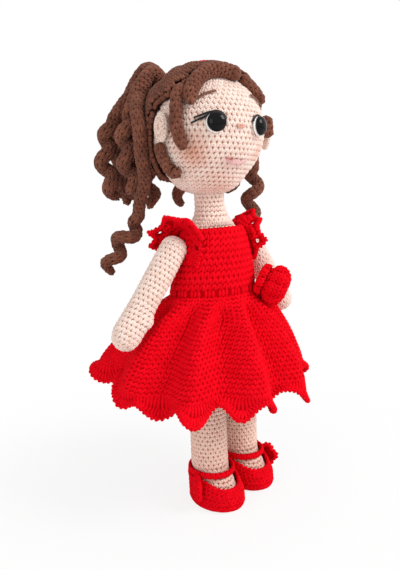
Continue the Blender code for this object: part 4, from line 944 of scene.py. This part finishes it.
def arm_surface(side, sign, forward):
    """An arm in a frame whose Z runs down it from the shoulder and whose Y points forwards."""
    hanging = cos(ARM_SPREAD)
    down = Vector((sign * sin(ARM_SPREAD), -hanging * sin(forward), -hanging * cos(forward)))
    frame_in = facing(SHOULDER_PIVOTS[side], down, -Vector((0, 1, 0)))
    thumb_turn = atan2(0.80, -sign * 0.55)

    def surface(turn, rise):
        along, radius = read(ARM_TABLE, rise * (len(ARM_SLICE_SHARES) - 1), 1, 2)
        off = (turn - thumb_turn + pi) % (2 * pi) - pi
        away = hypot(off * radius, along - 0.80 * ARM_LENGTH)
        radius += THUMB_RISE * exp(-0.5 * (away / THUMB_WIDTH) ** 2)
        return frame_in @ Vector((radius * cos(turn), radius * sin(turn), along))

    return surface


for side, sign, forward in (("right", -1, 3), ("left", 1, -13)):
    nodes = (f"arm_{side}_skin", f"arm_{side}_stuffing")
    stuffed(f"arm_{side}_crochet", arm_surface(side, sign, radians(forward)), (SKIN, SKIN_PAINTED_SHADE), 60,
            f"arm_{side}", nodes, 0.9, (0.0, 0.995), shape={"lean": 0.30}, depth=2.1 * MM)

# %% [markdown]
# ## Dress
# The bodice is worked in chunky rounds with an eyelet round at the waist. The skirt flares from it in broad
# pleats to a ruffled band at the hem. Both are thin cloths, with their stitches on the outside.

# %% Bodice
DRESS_OUTSET = 3.0 * MM
BAG, BAG_TURN, BAG_TOP, BAG_END_SHARE = 8.0 * MM, radians(38), 136.0 * MM, 0.40
EYELET_BAND_SHARE = 0.1  # of the bodice's height
CHUNKY = {"slant": -0.28, "lean": 0.34}
UPRIGHT = {"both_legs": False, "lean": 0.0, "spread": 0.0}
PICOT = {"lean": 0.6, "leg_width": 0.75}


def bag(turn):
    """The dress stands off the body at both back corners of the waist."""
    return BAG * max(cos(turn - BAG_TURN), cos(pi - turn - BAG_TURN), 0) ** 3


def bodice_surface(turn, rise):
    height = WAIST + rise * (NECKLINE - WAIST)
    return body_point(turn, height, DRESS_OUTSET + bag(turn) * ease((BAG_TOP - height) / (BAG_TOP - WAIST)))


def armhole_free(turn, rise):
    return beside_armhole(bodice_surface(turn, rise), 0.3 * MM)


def cut_through(piece, cutters):
    """Cuts closed forms out of a piece."""
    for cutter in cutters:
        hole = piece.modifiers.new("hole", "BOOLEAN")
        hole.operation = "DIFFERENCE"
        hole.solver = "EXACT"
        hole.object = cutter
    plain_mesh(piece, cutters)


def tunnel(name, frame_in, radius, half_length, count):
    return skin_of(name, turned_form(frame_in, ((radius, -half_length), (radius, half_length)), count), RED_PAINTED_SHADE)


# The bodice cloth is the darker red, painted shade that shows between its stitches and through the eyelets left at the
# waist.
bodice = cloth("dress_bodice_cloth", bodice_surface, RED_PAINTED_SHADE, np.linspace(-0.05, 1.0, 25), 0.8 * MM, 1.3 * MM)
armholes = []
for sign in (-1, 1):
    shoulder = Matrix.Translation((sign * 21 * MM, SHOULDER_Y, SHOULDER_HEIGHT))
    hole_frame = shoulder @ Matrix.Rotation(pi / 2, 4, "Y")
    armholes.append(tunnel(f"armhole_{sign}", hole_frame, ARMHOLE_RADIUS, 9 * MM, 24))
cut_through(bodice, armholes)
bodice_stitches = bare("dress_bodice_stitches", RED)
rises, pitch = even_rounds(bodice_surface, EYELET_BAND_SHARE, 1.0, 3.3 * MM)
rows = rounds(bodice_surface, rises, pitch, 3.1 * MM, -0.9 * MM, 2.3 * MM, armhole_free)
worked(bodice_stitches, rows, RED, **CHUNKY)
posts = rounds(bodice_surface, [EYELET_BAND_SHARE / 2], 4.0 * MM, 1.9 * MM, -0.9 * MM, 2.1 * MM)
posts = [post for k, post in enumerate(posts) if k % 4]
worked(bodice_stitches, posts, RED, **UPRIGHT, slant=-0.20, leg_width=1.1, leg_length=1.15)
stands_for(bodice, "torso", "dress_yarn", "dress_bodice")
stands_for(fixed(bodice_stitches), "torso", "dress_yarn")

# %% Skirt
PLEATS, PLEAT_DEPTH, FIRST_PLEAT, PLEAT_RUN_IN = 10, 5.0 * MM, radians(8), 0.22
HEM_RADIUS, HEM_HEIGHT = 56.2 * MM, 62.5 * MM
HEM_X, HEM_Y, HEM_RISE, HEM_HIGH = -6.0 * MM, 9.0 * MM, 12.0 * MM, radians(126)
RUFFLES, RUFFLE_DEPTH, RUFFLE_DROP, RUFFLE_BAND = 16, 3.0 * MM, 4.0 * MM, 9.0 * MM
FIRST_RUFFLE = radians(16.75)
SKIRT_TABLE = dense(((0, 0), (0.12, 0.19), (0.30, 0.45), (0.52, 0.69), (0.74, 0.87), (0.89, 0.95), (1, 1)))


def skirt_point(angle, row):
    """A point of the skirt's outer face, with the angle from the front towards the doll's right."""
    flare = read(SKIRT_TABLE, row, 1)[0]
    height = WAIST - 0.3 * MM + row * (HEM_HEIGHT - WAIST)
    half_width, half_depth = read(BODY_TABLE, WAIST, 1, 2)
    puff = bag(atan2(-cos(angle), -sin(angle))) * (1 - ease(row / BAG_END_SHARE))
    radius_x = half_width + DRESS_OUTSET + flare * (HEM_RADIUS - half_width - DRESS_OUTSET) + puff
    radius_y = half_depth + DRESS_OUTSET + flare * (HEM_RADIUS - half_depth - DRESS_OUTSET) + puff
    centre_y = body_y(WAIST) + flare * (HEM_Y - body_y(WAIST))
    fold = PLEAT_DEPTH * ease(row / PLEAT_RUN_IN) * cos(PLEATS * (angle - FIRST_PLEAT))
    band = ease((row - 1) * (WAIST - HEM_HEIGHT) / RUFFLE_BAND + 1)
    out = fold + RUFFLE_DEPTH * band * sin(RUFFLES * (angle - FIRST_RUFFLE))
    height -= RUFFLE_DROP * band * cos(RUFFLES * (angle - FIRST_RUFFLE))
    off = (angle - HEM_HIGH + pi) % (2 * pi) - pi
    height += HEM_RISE * row * (1 - ease((abs(off) - radians(28)) / radians(28 if off < 0 else 90)))
    x = flare * HEM_X - (radius_x + out) * sin(angle)
    return Vector((x, centre_y - (radius_y + out) * cos(angle), height))


def skirt_surface(turn, rise):
    return skirt_point(-turn, 1 - rise)


BAND_SHARE = 0.145  # of the skirt's length
skirt_rises = [*np.linspace(0.0, BAND_SHARE, 8, endpoint=False), *np.linspace(BAND_SHARE, 1.0, 30)]
skirt = cloth("dress_skirt_cloth", skirt_surface, RED_PAINTED_SHADE, skirt_rises, 0.7 * MM, 1.3 * MM, 240)
skirt_stitches = bare("dress_skirt_stitches", RED)
rises, pitch = even_rounds(skirt_surface, BAND_SHARE - 0.01, 1.02, 2.5 * MM)
worked(skirt_stitches, rounds(skirt_surface, rises, pitch, 3.0 * MM, -0.8 * MM, 1.8 * MM), RED, **CHUNKY)
fixed(skirt_stitches)
hem_stitches = bare("dress_hem_stitches", RED)
posts = rounds(
    skirt_surface, [BAND_SHARE * 0.27, BAND_SHARE * 0.76], 0, 1.8 * MM, -0.8 * MM, 2.0 * MM, stretched=BAND_SHARE / 2)
worked(hem_stitches, posts, RED, **UPRIGHT, slant=-0.04, leg_width=1.15)
worked(hem_stitches, rounds(skirt_surface, [0.010], 2.9 * MM, 2.4 * MM, -1.0 * MM, 3.2 * MM), RED, **PICOT)
fixed(hem_stitches)
stands_for(skirt, "torso", "dress_yarn", "dress_skirt")
for piece in (skirt_stitches, hem_stitches):
    stands_for(piece, "torso", "dress_yarn")

# %% Shoulder frills
FRILL_START, FRILL_END = radians(-38), radians(218)
FRILL_REACH, FRILL_INNER, FRILL_POINTS = 14.0 * MM, 9.5 * MM, 6
FRILL_TOP_X = 15.0 * MM
FRILL_TABLES = {
    "right": dense((
        *((-38, 0.45, 0.00), (-15, 0.45, 0.15), (5, 0.40, 0.28), (25, 0.48, 0.36), (47, 0.70, 0.75), (70, 0.58, 0.88)),
        *((95, 0.44, 0.98), (120, 0.22, 1.25), (140, 0.12, 1.38), (175, 0.20, 1.30), (195, 0.32, 0.80), (218, 0.40, 0.0)),
    )),
    "left": dense((
        *((-38, 0.40, 0.00), (-10, 0.62, 0.40), (5, 0.76, 0.54), (20, 0.72, 0.52), (47, 0.42, 0.88), (70, 0.42, 0.94)),
        *((95, 0.46, 0.95), (120, 0.42, 0.95), (150, 0.44, 0.85), (185, 0.44, 0.40), (218, 0.40, 0.00)),
    )),
}


def frill_surface(side, sign):
    """The frill stands out round the top of the armhole, its turn measured round the armhole from the front."""

    def surface(turn, rise):
        angle = turn if sign > 0 else FRILL_START + FRILL_END - turn
        steps = FRILL_POINTS * (angle - FRILL_START) / (FRILL_END - FRILL_START)
        scallop = 0.78 + 0.24 * (1 - abs(sin(pi * steps)))
        along, away = read(FRILL_TABLES[side], degrees(angle), 1, 2)
        reach = FRILL_REACH * rise * scallop
        radius = FRILL_INNER + reach * along
        y = SHOULDER_Y - radius * cos(angle)
        z = SHOULDER_HEIGHT + radius * sin(angle)
        level_ = min(max(z, WAIST), NECKLINE)
        half_width, half_depth = read(BODY_TABLE, level_, 1, 2)
        outset = DRESS_OUTSET + 1.5 * MM
        across = (y - body_y(z)) / (half_depth + outset)
        edge_x = (half_width + outset) * sqrt(max(0, 1 - across * across))
        x = max(edge_x, FRILL_TOP_X) + reach * away
        return Vector((sign * x, y, z))

    return surface


def open_cloth(name, surface, look, span, rises, inset, wall, count=90):
    """A thin closed wall that follows a surface between two turns."""
    rings = []
    for turn in np.linspace(*span, count):
        out = [seat(surface, turn, rise, -inset)[0] for rise in rises]
        rings.append(out + [seat(surface, turn, rise, -inset - wall)[0] for rise in reversed(rises)])
    return skin_of(name, rings, look)


EYELET_RADIUS, EYELET_RISE, EYELET_ROOM = 1.1 * MM, 0.58, 2.3 * MM
FRILL_SPAN = (FRILL_START, FRILL_END)
FRILL_LIFT, FRILL_DEPTH = -1.2 * MM, 3.0 * MM  # the stitches show on both faces of the cloth
eyelet_turns = np.linspace(*FRILL_SPAN, FRILL_POINTS + 1)[1:-1]
for side, sign in (("right", -1), ("left", 1)):
    surface = frill_surface(side, sign)
    rises = np.linspace(-0.15, 0.98, 9)
    frill = open_cloth(f"shoulder_frill_{side}_cloth", surface, RED_PAINTED_SHADE, FRILL_SPAN, rises, 0.7 * MM, 1.1 * MM)
    holes = [seat(surface, turn, EYELET_RISE, -1.2 * MM) for turn in eyelet_turns]
    cut_through(frill, [
        tunnel(f"punch_{side}_{k}", Matrix.Translation(place) @ turned.to_4x4(), EYELET_RADIUS, 3 * MM, 12)
        for k, (place, turned) in enumerate(holes)])

    def off_eyelets(turn, rise, surface=surface, holes=holes):
        return min((surface(turn, rise) - place).length for place, _ in holes) > EYELET_ROOM

    ribs = bare(f"shoulder_frill_{side}_stitches", RED)
    rows = rounds(surface, [0.08, 0.36, 0.64], 0, 2.7 * MM, FRILL_LIFT, FRILL_DEPTH, off_eyelets, FRILL_SPAN, 0.31)
    worked(ribs, rows, RED, **CHUNKY)
    edge = rounds(surface, [0.92], 2.8 * MM, 2.5 * MM, FRILL_LIFT, FRILL_DEPTH, span=FRILL_SPAN)
    worked(ribs, edge, RED, **PICOT)
    stands_for(frill, "torso", "dress_yarn", f"shoulder_frill_{side}")
    stands_for(fixed(ribs), "torso", "dress_yarn")


# %% Rosette and button
def bodice_seat(angle, height, lift):
    """A frame just off the bodice whose Z faces outwards there."""
    half_width, half_depth = read(BODY_TABLE, height, 1, 2)
    wide, deep = half_width + DRESS_OUTSET + lift, half_depth + DRESS_OUTSET + lift
    place = Vector((wide * sin(angle), body_y(height) - deep * cos(angle), height))
    return facing(place, Vector((sin(angle) / wide, -cos(angle) / deep, 0)).normalized())


ROSETTE_PROFILE = (
    *((0.0, 0.40), (0.08, 0.76), (0.22, 0.84), (0.32, 0.72), (0.44, 0.96), (0.62, 1.04)),
    *((0.80, 0.92), (0.94, 0.62), (1.00, 0.12)),
)
rosette_frame = bodice_seat(radians(49), 121.8 * MM, 1.8 * MM) @ Matrix.Rotation(radians(25), 4, "X")
surface = disc_surface(rosette_frame, ROSETTE_PROFILE, 11.5 * MM, 11.5 * MM, 18.5 * MM, 9, 0.16)
disc_piece("waist_rosette_crochet", surface, (RED, RED_PAINTED_SHADE), "torso", "waist_rosette", "dress_yarn", rows=48)
BUTTON = plain("red_button_plastic", "c80f1e", 0.28)
button = frame["nodes"]["back_button"]
button.data.materials.clear()
button.data.materials.append(BUTTON)
print("dress trimmed")

# %% [markdown]
# ## Shoes
# The shoes are worked from the sole up and stop low over the instep. A strap goes round the ankle and a
# small flower sits on the outer side.

# %% Shoes
SHOE_OUTSET = 3.4 * MM
SHOE_BACK, SHOE_FRONT = 16.4 * MM, 12.8 * MM
FLOWER_TURN = radians(28)
STRAP_EASE, STRAP_WALL, STRAP_WIDTH = 0.5 * MM, 2.2 * MM, 4.2 * MM
FLOWER_PROFILE = ((0.0, 0.80), (0.30, 1.0), (0.70, 0.86), (0.86, 0.5), (0.8, 0.12))


def shoe_rim(turn):
    """The opening is low over the instep and high round the heel."""
    front = 0.5 - 0.5 * sin(turn)
    return SHOE_BACK + (SHOE_FRONT - SHOE_BACK) * ease(3.2 * front - 2.2)


def shoe_surface(sign):
    low = FOOT_LOW + 0.3 * MM
    return lambda turn, rise: foot_point(sign, turn, low + rise * (shoe_rim(turn) - low), SHOE_OUTSET)


def strap_surface(sign):
    """A flat band round the ankle, as a surface that starts inside it and goes over its outer face."""

    def surface(turn, rise):
        middle = SHOE_BACK - 0.1 * MM + STRAP_WIDTH / 2
        place = foot_point(sign, turn, SHOE_BACK + 0.3 * MM, STRAP_EASE + STRAP_WALL / 2)
        centre = foot_point(sign, turn, SHOE_BACK + 0.3 * MM, 0)
        out = Vector((place.x - centre.x, place.y - centre.y, 0)).normalized()
        angle = pi * (2 * rise - 1)
        reach = out * (STRAP_WALL / 2 * cos(angle)) + Vector((0, 0, STRAP_WIDTH / 2 * sin(angle)))
        return Vector((place.x, place.y, middle)) + reach

    return surface


SOLE_HEIGHT, SOLE_EDGE, SOLE_THICKNESS = 2.2 * MM, 2.9 * MM, 3.0 * MM
SOLE_PROFILE = ((0.0, 0.7), (0.08, 0.88), (0.35, 0.97), (0.70, 1.0), (1.0, 0.97), (1.0, 0.5))
FLOWER_HEIGHT = 12.5 * MM
half_width, half_length, forward = read(FOOT_TABLE, FOOT_LOW + SOLE_HEIGHT, 1, 2, 3)
for side, sign in (("right", -1), ("left", 1)):
    surface = shoe_surface(sign)
    upper = cloth(f"shoe_{side}_upper_crochet", surface, RED_PAINTED_SHADE, np.linspace(0.0, 1.0, 8), 0.7 * MM, 1.3 * MM)
    rises, pitch = even_rounds(surface, 0.0, 1.0, 2.3 * MM)
    worked(upper, rounds(surface, rises, pitch, 2.6 * MM, -0.8 * MM, 1.8 * MM), RED, slant=-0.28)
    fixed(upper)
    middle = Matrix.Translation((sign * FOOT_SPREAD, BODY_Y - forward + sign * STRIDE, 0))
    surface = disc_surface(middle, SOLE_PROFILE, half_width + SOLE_EDGE, half_length + SOLE_EDGE, SOLE_THICKNESS)
    sole = core(f"shoe_{side}_sole_crochet", surface, RED, 16, 0.05 * MM, 64)
    worked(sole, rounds(surface, [0.32, 0.66], 2.1 * MM, 2.6 * MM, -0.6 * MM, 1.8 * MM), RED, slant=-0.28)
    fixed(sole)
    surface = strap_surface(sign)
    strap = skin_of(f"shoe_{side}_strap_crochet", [
        ring_on(surface, rise, 0.4 * MM, 64) for rise in np.linspace(0, 1, 12, endpoint=False)], RED_PAINTED_SHADE, loop=True)
    worked(strap, rounds(surface, [0.5], STRAP_WIDTH, 3.0 * MM, -0.6 * MM, 1.9 * MM), RED, leg_length=1.0)
    fixed(strap)
    flower_seat = foot_point(sign, pi / 2 - sign * radians(105), FLOWER_HEIGHT, SHOE_OUTSET - 0.4 * MM)
    flower_frame = facing(flower_seat, Vector((sign * cos(FLOWER_TURN), sin(FLOWER_TURN), 0)))
    surface = disc_surface(flower_frame, FLOWER_PROFILE, 7.2 * MM, 7.2 * MM, 4.6 * MM, 5, 0.20)
    disc_piece(f"shoe_{side}_flower_crochet", surface, (RED, RED_PAINTED_SHADE), "torso", f"shoe_{side}_flower", "shoe_yarn",
               rows=20)
    for piece, node in ((upper, "upper"), (sole, "sole"), (strap, "strap")):
        stands_for(piece, "torso", "shoe_yarn", f"shoe_{side}_{node}")
print("shoes made")

# %% [markdown]
# ## Hair
# The cap is worked in strips that run from the hairline back to the ponytail, with a groove between one
# strip and the next. The locks are tubes of single crochet, worked so tightly on one side that they curl.

# %% Hair cap
CAP_RADIUS, CAP_INSIDE = 34.4 * MM, 31.4 * MM
PONY_ANGLE = radians(47)
STRIPS = 14
STRIP_RISE = 1.5 * MM
PONY_AXIS = Vector((0, cos(PONY_ANGLE), sin(PONY_ANGLE)))
PONY_SIDE = Vector((1, 0, 0))
PONY_UP = PONY_SIDE.cross(PONY_AXIS)


def strip_relief(direction):
    """How far the strips rise there: highest along their middles, and nothing in the grooves."""
    turn = atan2(direction.dot(PONY_UP), direction.dot(PONY_SIDE))
    return STRIP_RISE * (abs(sin(STRIPS * turn / 2)) ** 0.6 - 0.25)


def cap_point(direction, inset=0.0):
    return HEAD_FRAME @ (direction * (CAP_RADIUS - 0.5 * MM + strip_relief(direction) - inset))


def strip_surface(turn, rise):
    """Runs round the ponytail's root, the rise from the far side of the head to the root."""
    away = radians(172 - 160 * rise)
    across = PONY_SIDE * cos(turn) + PONY_UP * sin(turn)
    return cap_point(PONY_AXIS * cos(away) + across * sin(away))


def on_cap(turn, rise):
    local = (HEAD_FRAME.inverted() @ strip_surface(turn, rise)).normalized()
    return asin(local.z) > cap_edge(atan2(-local.x, -local.y)) + radians(1.5)


CAP_COLUMNS, CAP_ROWS, CAP_WALL = 220, 60, 1.3 * MM
outside, inside = [], []
for row in range(CAP_ROWS):
    directions = []
    for i in range(CAP_COLUMNS):
        azimuth = -2 * pi * i / CAP_COLUMNS
        edge = cap_edge(azimuth)
        directions.append(direction_to(azimuth, edge + (radians(89.5) - edge) * row / (CAP_ROWS - 1)))
    outside.append([cap_point(direction, CAP_WALL) for direction in directions])
    inside.append([HEAD_FRAME @ (direction * CAP_INSIDE) for direction in directions])
outside.append([HEAD_FRAME @ Vector((0, 0, CAP_RADIUS - CAP_WALL))])
inside.append([HEAD_FRAME @ Vector((0, 0, CAP_INSIDE))])
# The cap's inner form is the darker brown, painted shade between its stitches.
cap = skin_of("hair_cap_crochet", outside[::-1] + inside, HAIR_PAINTED_SHADE)
rises, pitch = even_rounds(strip_surface, 0.0, 1.0, 2.5 * MM)
worked(cap, rounds(strip_surface, rises, pitch, 2.7 * MM, -0.7 * MM, 2.2 * MM, on_cap), HAIR, slant=-0.28)


def edge_surface(turn, rise):
    return head_point(-turn, cap_edge(-turn) + (rise - 0.5) * 3 * MM / CAP_RADIUS, CAP_RADIUS + 0.2 * MM)


worked(cap, rounds(edge_surface, [0.5], 3.0 * MM, 3.0 * MM, -1.0 * MM, 2.6 * MM), HAIR, lean=0.5)
stands_for(fixed(cap), "head", "hair_yarn", "hair_cap")

# %% Locks
RINGLET_RADIUS = 3.3 * MM
LOCK_RADIUS, LONG_LOCK_RADIUS, ROLL_RADIUS = 3.2 * MM, 3.4 * MM, 3.8 * MM


def lock_way(points, curl, start_turn, wide, samples=160):
    """The middle line of a lock that winds into a ringlet from a share of its length."""
    turns, curl_from = curl
    table = dense([tuple(p) for p in points], 60)
    base = [Vector(row) for row in table]
    reach = lengths(base)
    way = []
    across = None
    for s in np.linspace(0, 1, samples):
        place = Vector([float(np.interp(s * reach[-1], reach, table[:, k])) for k in range(3)])
        i = min(max(int(np.searchsorted(reach, s * reach[-1], side="right")) - 1, 0), len(base) - 2)
        along = (base[i + 1] - base[i]).normalized()
        across = along.orthogonal() if across is None else across - along * across.dot(along)
        across = across.normalized()
        share_in = max(0, (s - curl_from) / (1 - curl_from))
        angle = 2 * pi * turns * share_in + start_turn
        out = wide * ease(4 * share_in) if turns else 0
        way.append(place + across * (out * cos(angle)) + along.cross(across) * (out * sin(angle)))
    return way


def lock_surface(way, radius):
    """A round surface along a middle line, with rounded ends."""
    reach = lengths(way)
    table = np.array([(r, *p, *side, *up) for r, p, (side, up) in zip(reach, way, sides_of(way))])
    total = reach[-1]

    def surface(turn, rise):
        at = rise * total
        row = read(table, at, *range(1, 10))
        place, across, up = Vector(row[:3]), Vector(row[3:6]).normalized(), Vector(row[6:]).normalized()
        end = min(at, total - at) / radius
        thin = sqrt(max(0.02, 1 - (1 - min(max(end, 0), 1)) ** 2))
        past = 1 - 0.35 * ease((rise - 0.85) / 0.15)
        return place + (across * cos(turn) + up * sin(turn)) * radius * thin * past

    return surface, total


def lock(name, points, radius, nodes, curl=(0, 0), start_turn=0.0, wide=RINGLET_RADIUS):
    surface, total = lock_surface(lock_way(points, curl, start_turn, wide), radius)
    piece = core(name, surface, HAIR_PAINTED_SHADE, int(total / (1.4 * MM)), 0.9 * MM, 14)
    count = round(total / (2.5 * MM))
    rises = [(k + 0.5) / count for k in range(count)]
    rows = rounds(surface, rises, 0, 2.7 * MM, -0.7 * MM, 1.9 * MM, stretched=1.1 / count)
    worked(piece, rows, HAIR, slant=-0.28)
    stands_for(fixed(piece), "head", "hair_yarn", *nodes)


def on_head(angles, lift):
    return [head_point(radians(a), radians(t), lift) for a, t in angles]


def beside_head(routes):
    return [HEAD_CENTRE + Vector(route) * HEAD_RADIUS for route in routes]


FRONT_ROLL = ((-16, 50), (-4, 56), (10, 58), (26, 56), (38, 50), (45, 40), (48, 28), (47, 17))
SIDE_LOCK = ((58, 34), (60, 24), (59, 12), (58, 0), (55, -11), (52, -20))
EAR_LOCK = ((79, -14), (79, -23), (78, -31), (76, -39), (71, -42), (65, -38))
FAR_ROLL = ((-26, 53), (-34, 50), (-43, 44), (-50, 36), (-55, 27))
FAR_CURL = ((-62, 16), (-60, 9), (-60, 2), (-62, -4))
NEAR_LONG_SHARES = (
    *((-0.98, 0.56, 0.66), (-1.17, 0.34, 0.38), (-1.24, 0.20, 0.10), (-1.19, 0.26, -0.16), (-1.12, 0.36, -0.42)),
    *((-0.96, 0.56, -0.79), (-0.98, 0.72, -1.15), (-1.04, 0.78, -1.52)),
    *((-1.24, 0.90, -1.80), (-1.40, 1.0, -2.05), (-1.50, 1.05, -2.40)),
)
FAR_LONG_SHARES = (
    *((1.258, 0.18, 0.24), (1.258, 0.24, -0.10), (1.28, 0.26, -0.59)),
    *((1.30, 0.30, -0.95), (1.28, 0.32, -1.25), (1.22, 0.34, -1.62)),
)
for name, route, radius, lift in (
    ("front_roll", FRONT_ROLL, ROLL_RADIUS, -0.6 * MM),
    ("side_lock", SIDE_LOCK, LOCK_RADIUS, 0.5 * MM),
    ("ear_lock", EAR_LOCK, 2.7 * MM, 0.5 * MM),
    ("far_roll", FAR_ROLL, 2.6 * MM, -0.6 * MM),
    ("far_curl", FAR_CURL, LOCK_RADIUS, -1.6 * MM),
):
    lock(f"{name}_crochet", on_head(route, HEAD_RADIUS + radius + lift), radius, [name])
lock("near_long_lock_crochet", beside_head(NEAR_LONG_SHARES), LONG_LOCK_RADIUS, ["near_long_lock"], (2.6, 0.66))
lock("far_long_lock_crochet", beside_head(FAR_LONG_SHARES), LONG_LOCK_RADIUS, ["far_long_lock"], (2.0, 0.45))

# %% Ponytail
PONY_HEADINGS = (
    *((-90, 0.80, 0.3), (-58, 1.06, 0.2), (-26, 1.14, 1.9), (0, 0.95, 0.5)),
    *((26, 1.10, 1.0), (51, 0.98, 0.0), (81, 0.80, 0.3), (-72, 0.55, 0.7), (-42, 0.72, 1.0)),
)
PONY_WAY_SHARES = (
    *((0.08, 0.05, 0.20), (0.28, 0.03, 0.27), (0.56, -0.22, 0.22), (0.82, -0.58, 0.10)),
    *((0.96, -1.00, 0.0), (0.96, -1.40, 0.0), (0.82, -1.92, 0.0)),
)
PONY_CURLS = 7  # of the plain model; the last locks fill the ponytail beside the head
KNOT_RADIUS, PONY_RING, PONY_RADIUS, PONY_CURL = 9.3 * MM, 14.3 * MM, 4.0 * MM, 2.3 * MM
root = HEAD_FRAME @ (PONY_AXIS * CAP_RADIUS)
axis = (root - HEAD_CENTRE).normalized()
KNOT_PROFILE = ((0.0, 0.80), (0.35, 1.0), (0.85, 0.98), (1.25, 0.70), (1.42, 0.30), (1.45, 0.02))
knot_frame = facing(root + axis * 0.6 * MM, axis)
surface = disc_surface(knot_frame, KNOT_PROFILE, KNOT_RADIUS, KNOT_RADIUS, KNOT_RADIUS)
disc_piece("ponytail_knot_crochet", surface, (HAIR, HAIR_PAINTED_SHADE), "head", "ponytail_knot", "hair_yarn")
for k, (heading, reach_share, lift_share) in enumerate(PONY_HEADINGS):
    angle = radians(heading)
    outwards = Vector((sin(angle), cos(angle), 0))
    ring_way = (outwards - axis * outwards.dot(axis)).normalized()
    start = root + ring_way * PONY_RING + axis * (LOCK_RADIUS + 0.6 * MM)
    points = [start]
    for out, rise, loft in PONY_WAY_SHARES:
        up = Vector((0, 0, rise + loft * lift_share))
        points.append(start + (outwards * out * reach_share + up) * HEAD_RADIUS)
    nodes = [f"ponytail_curl_{k + 1}"] if k < PONY_CURLS else []
    lock(f"ponytail_curl_{k + 1}_crochet", points, PONY_RADIUS, nodes, (3.0, 0.42), k, PONY_CURL)
bow_frame = head_seat(180, 84, CAP_RADIUS + 0.3 * MM)
surface = disc_surface(bow_frame, FLOWER_PROFILE, 4.2 * MM, 4.2 * MM, 3.0 * MM, 5, 0.16)
disc_piece("hair_bow_crochet", surface, (RED, RED_PAINTED_SHADE), "head", "hair_bow", "dress_yarn", rows=20)

# %% Sizes and the end
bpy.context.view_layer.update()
total_faces = sum(len(o.data.polygons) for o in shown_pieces() if o.type == "MESH")
print("faces:", total_faces)
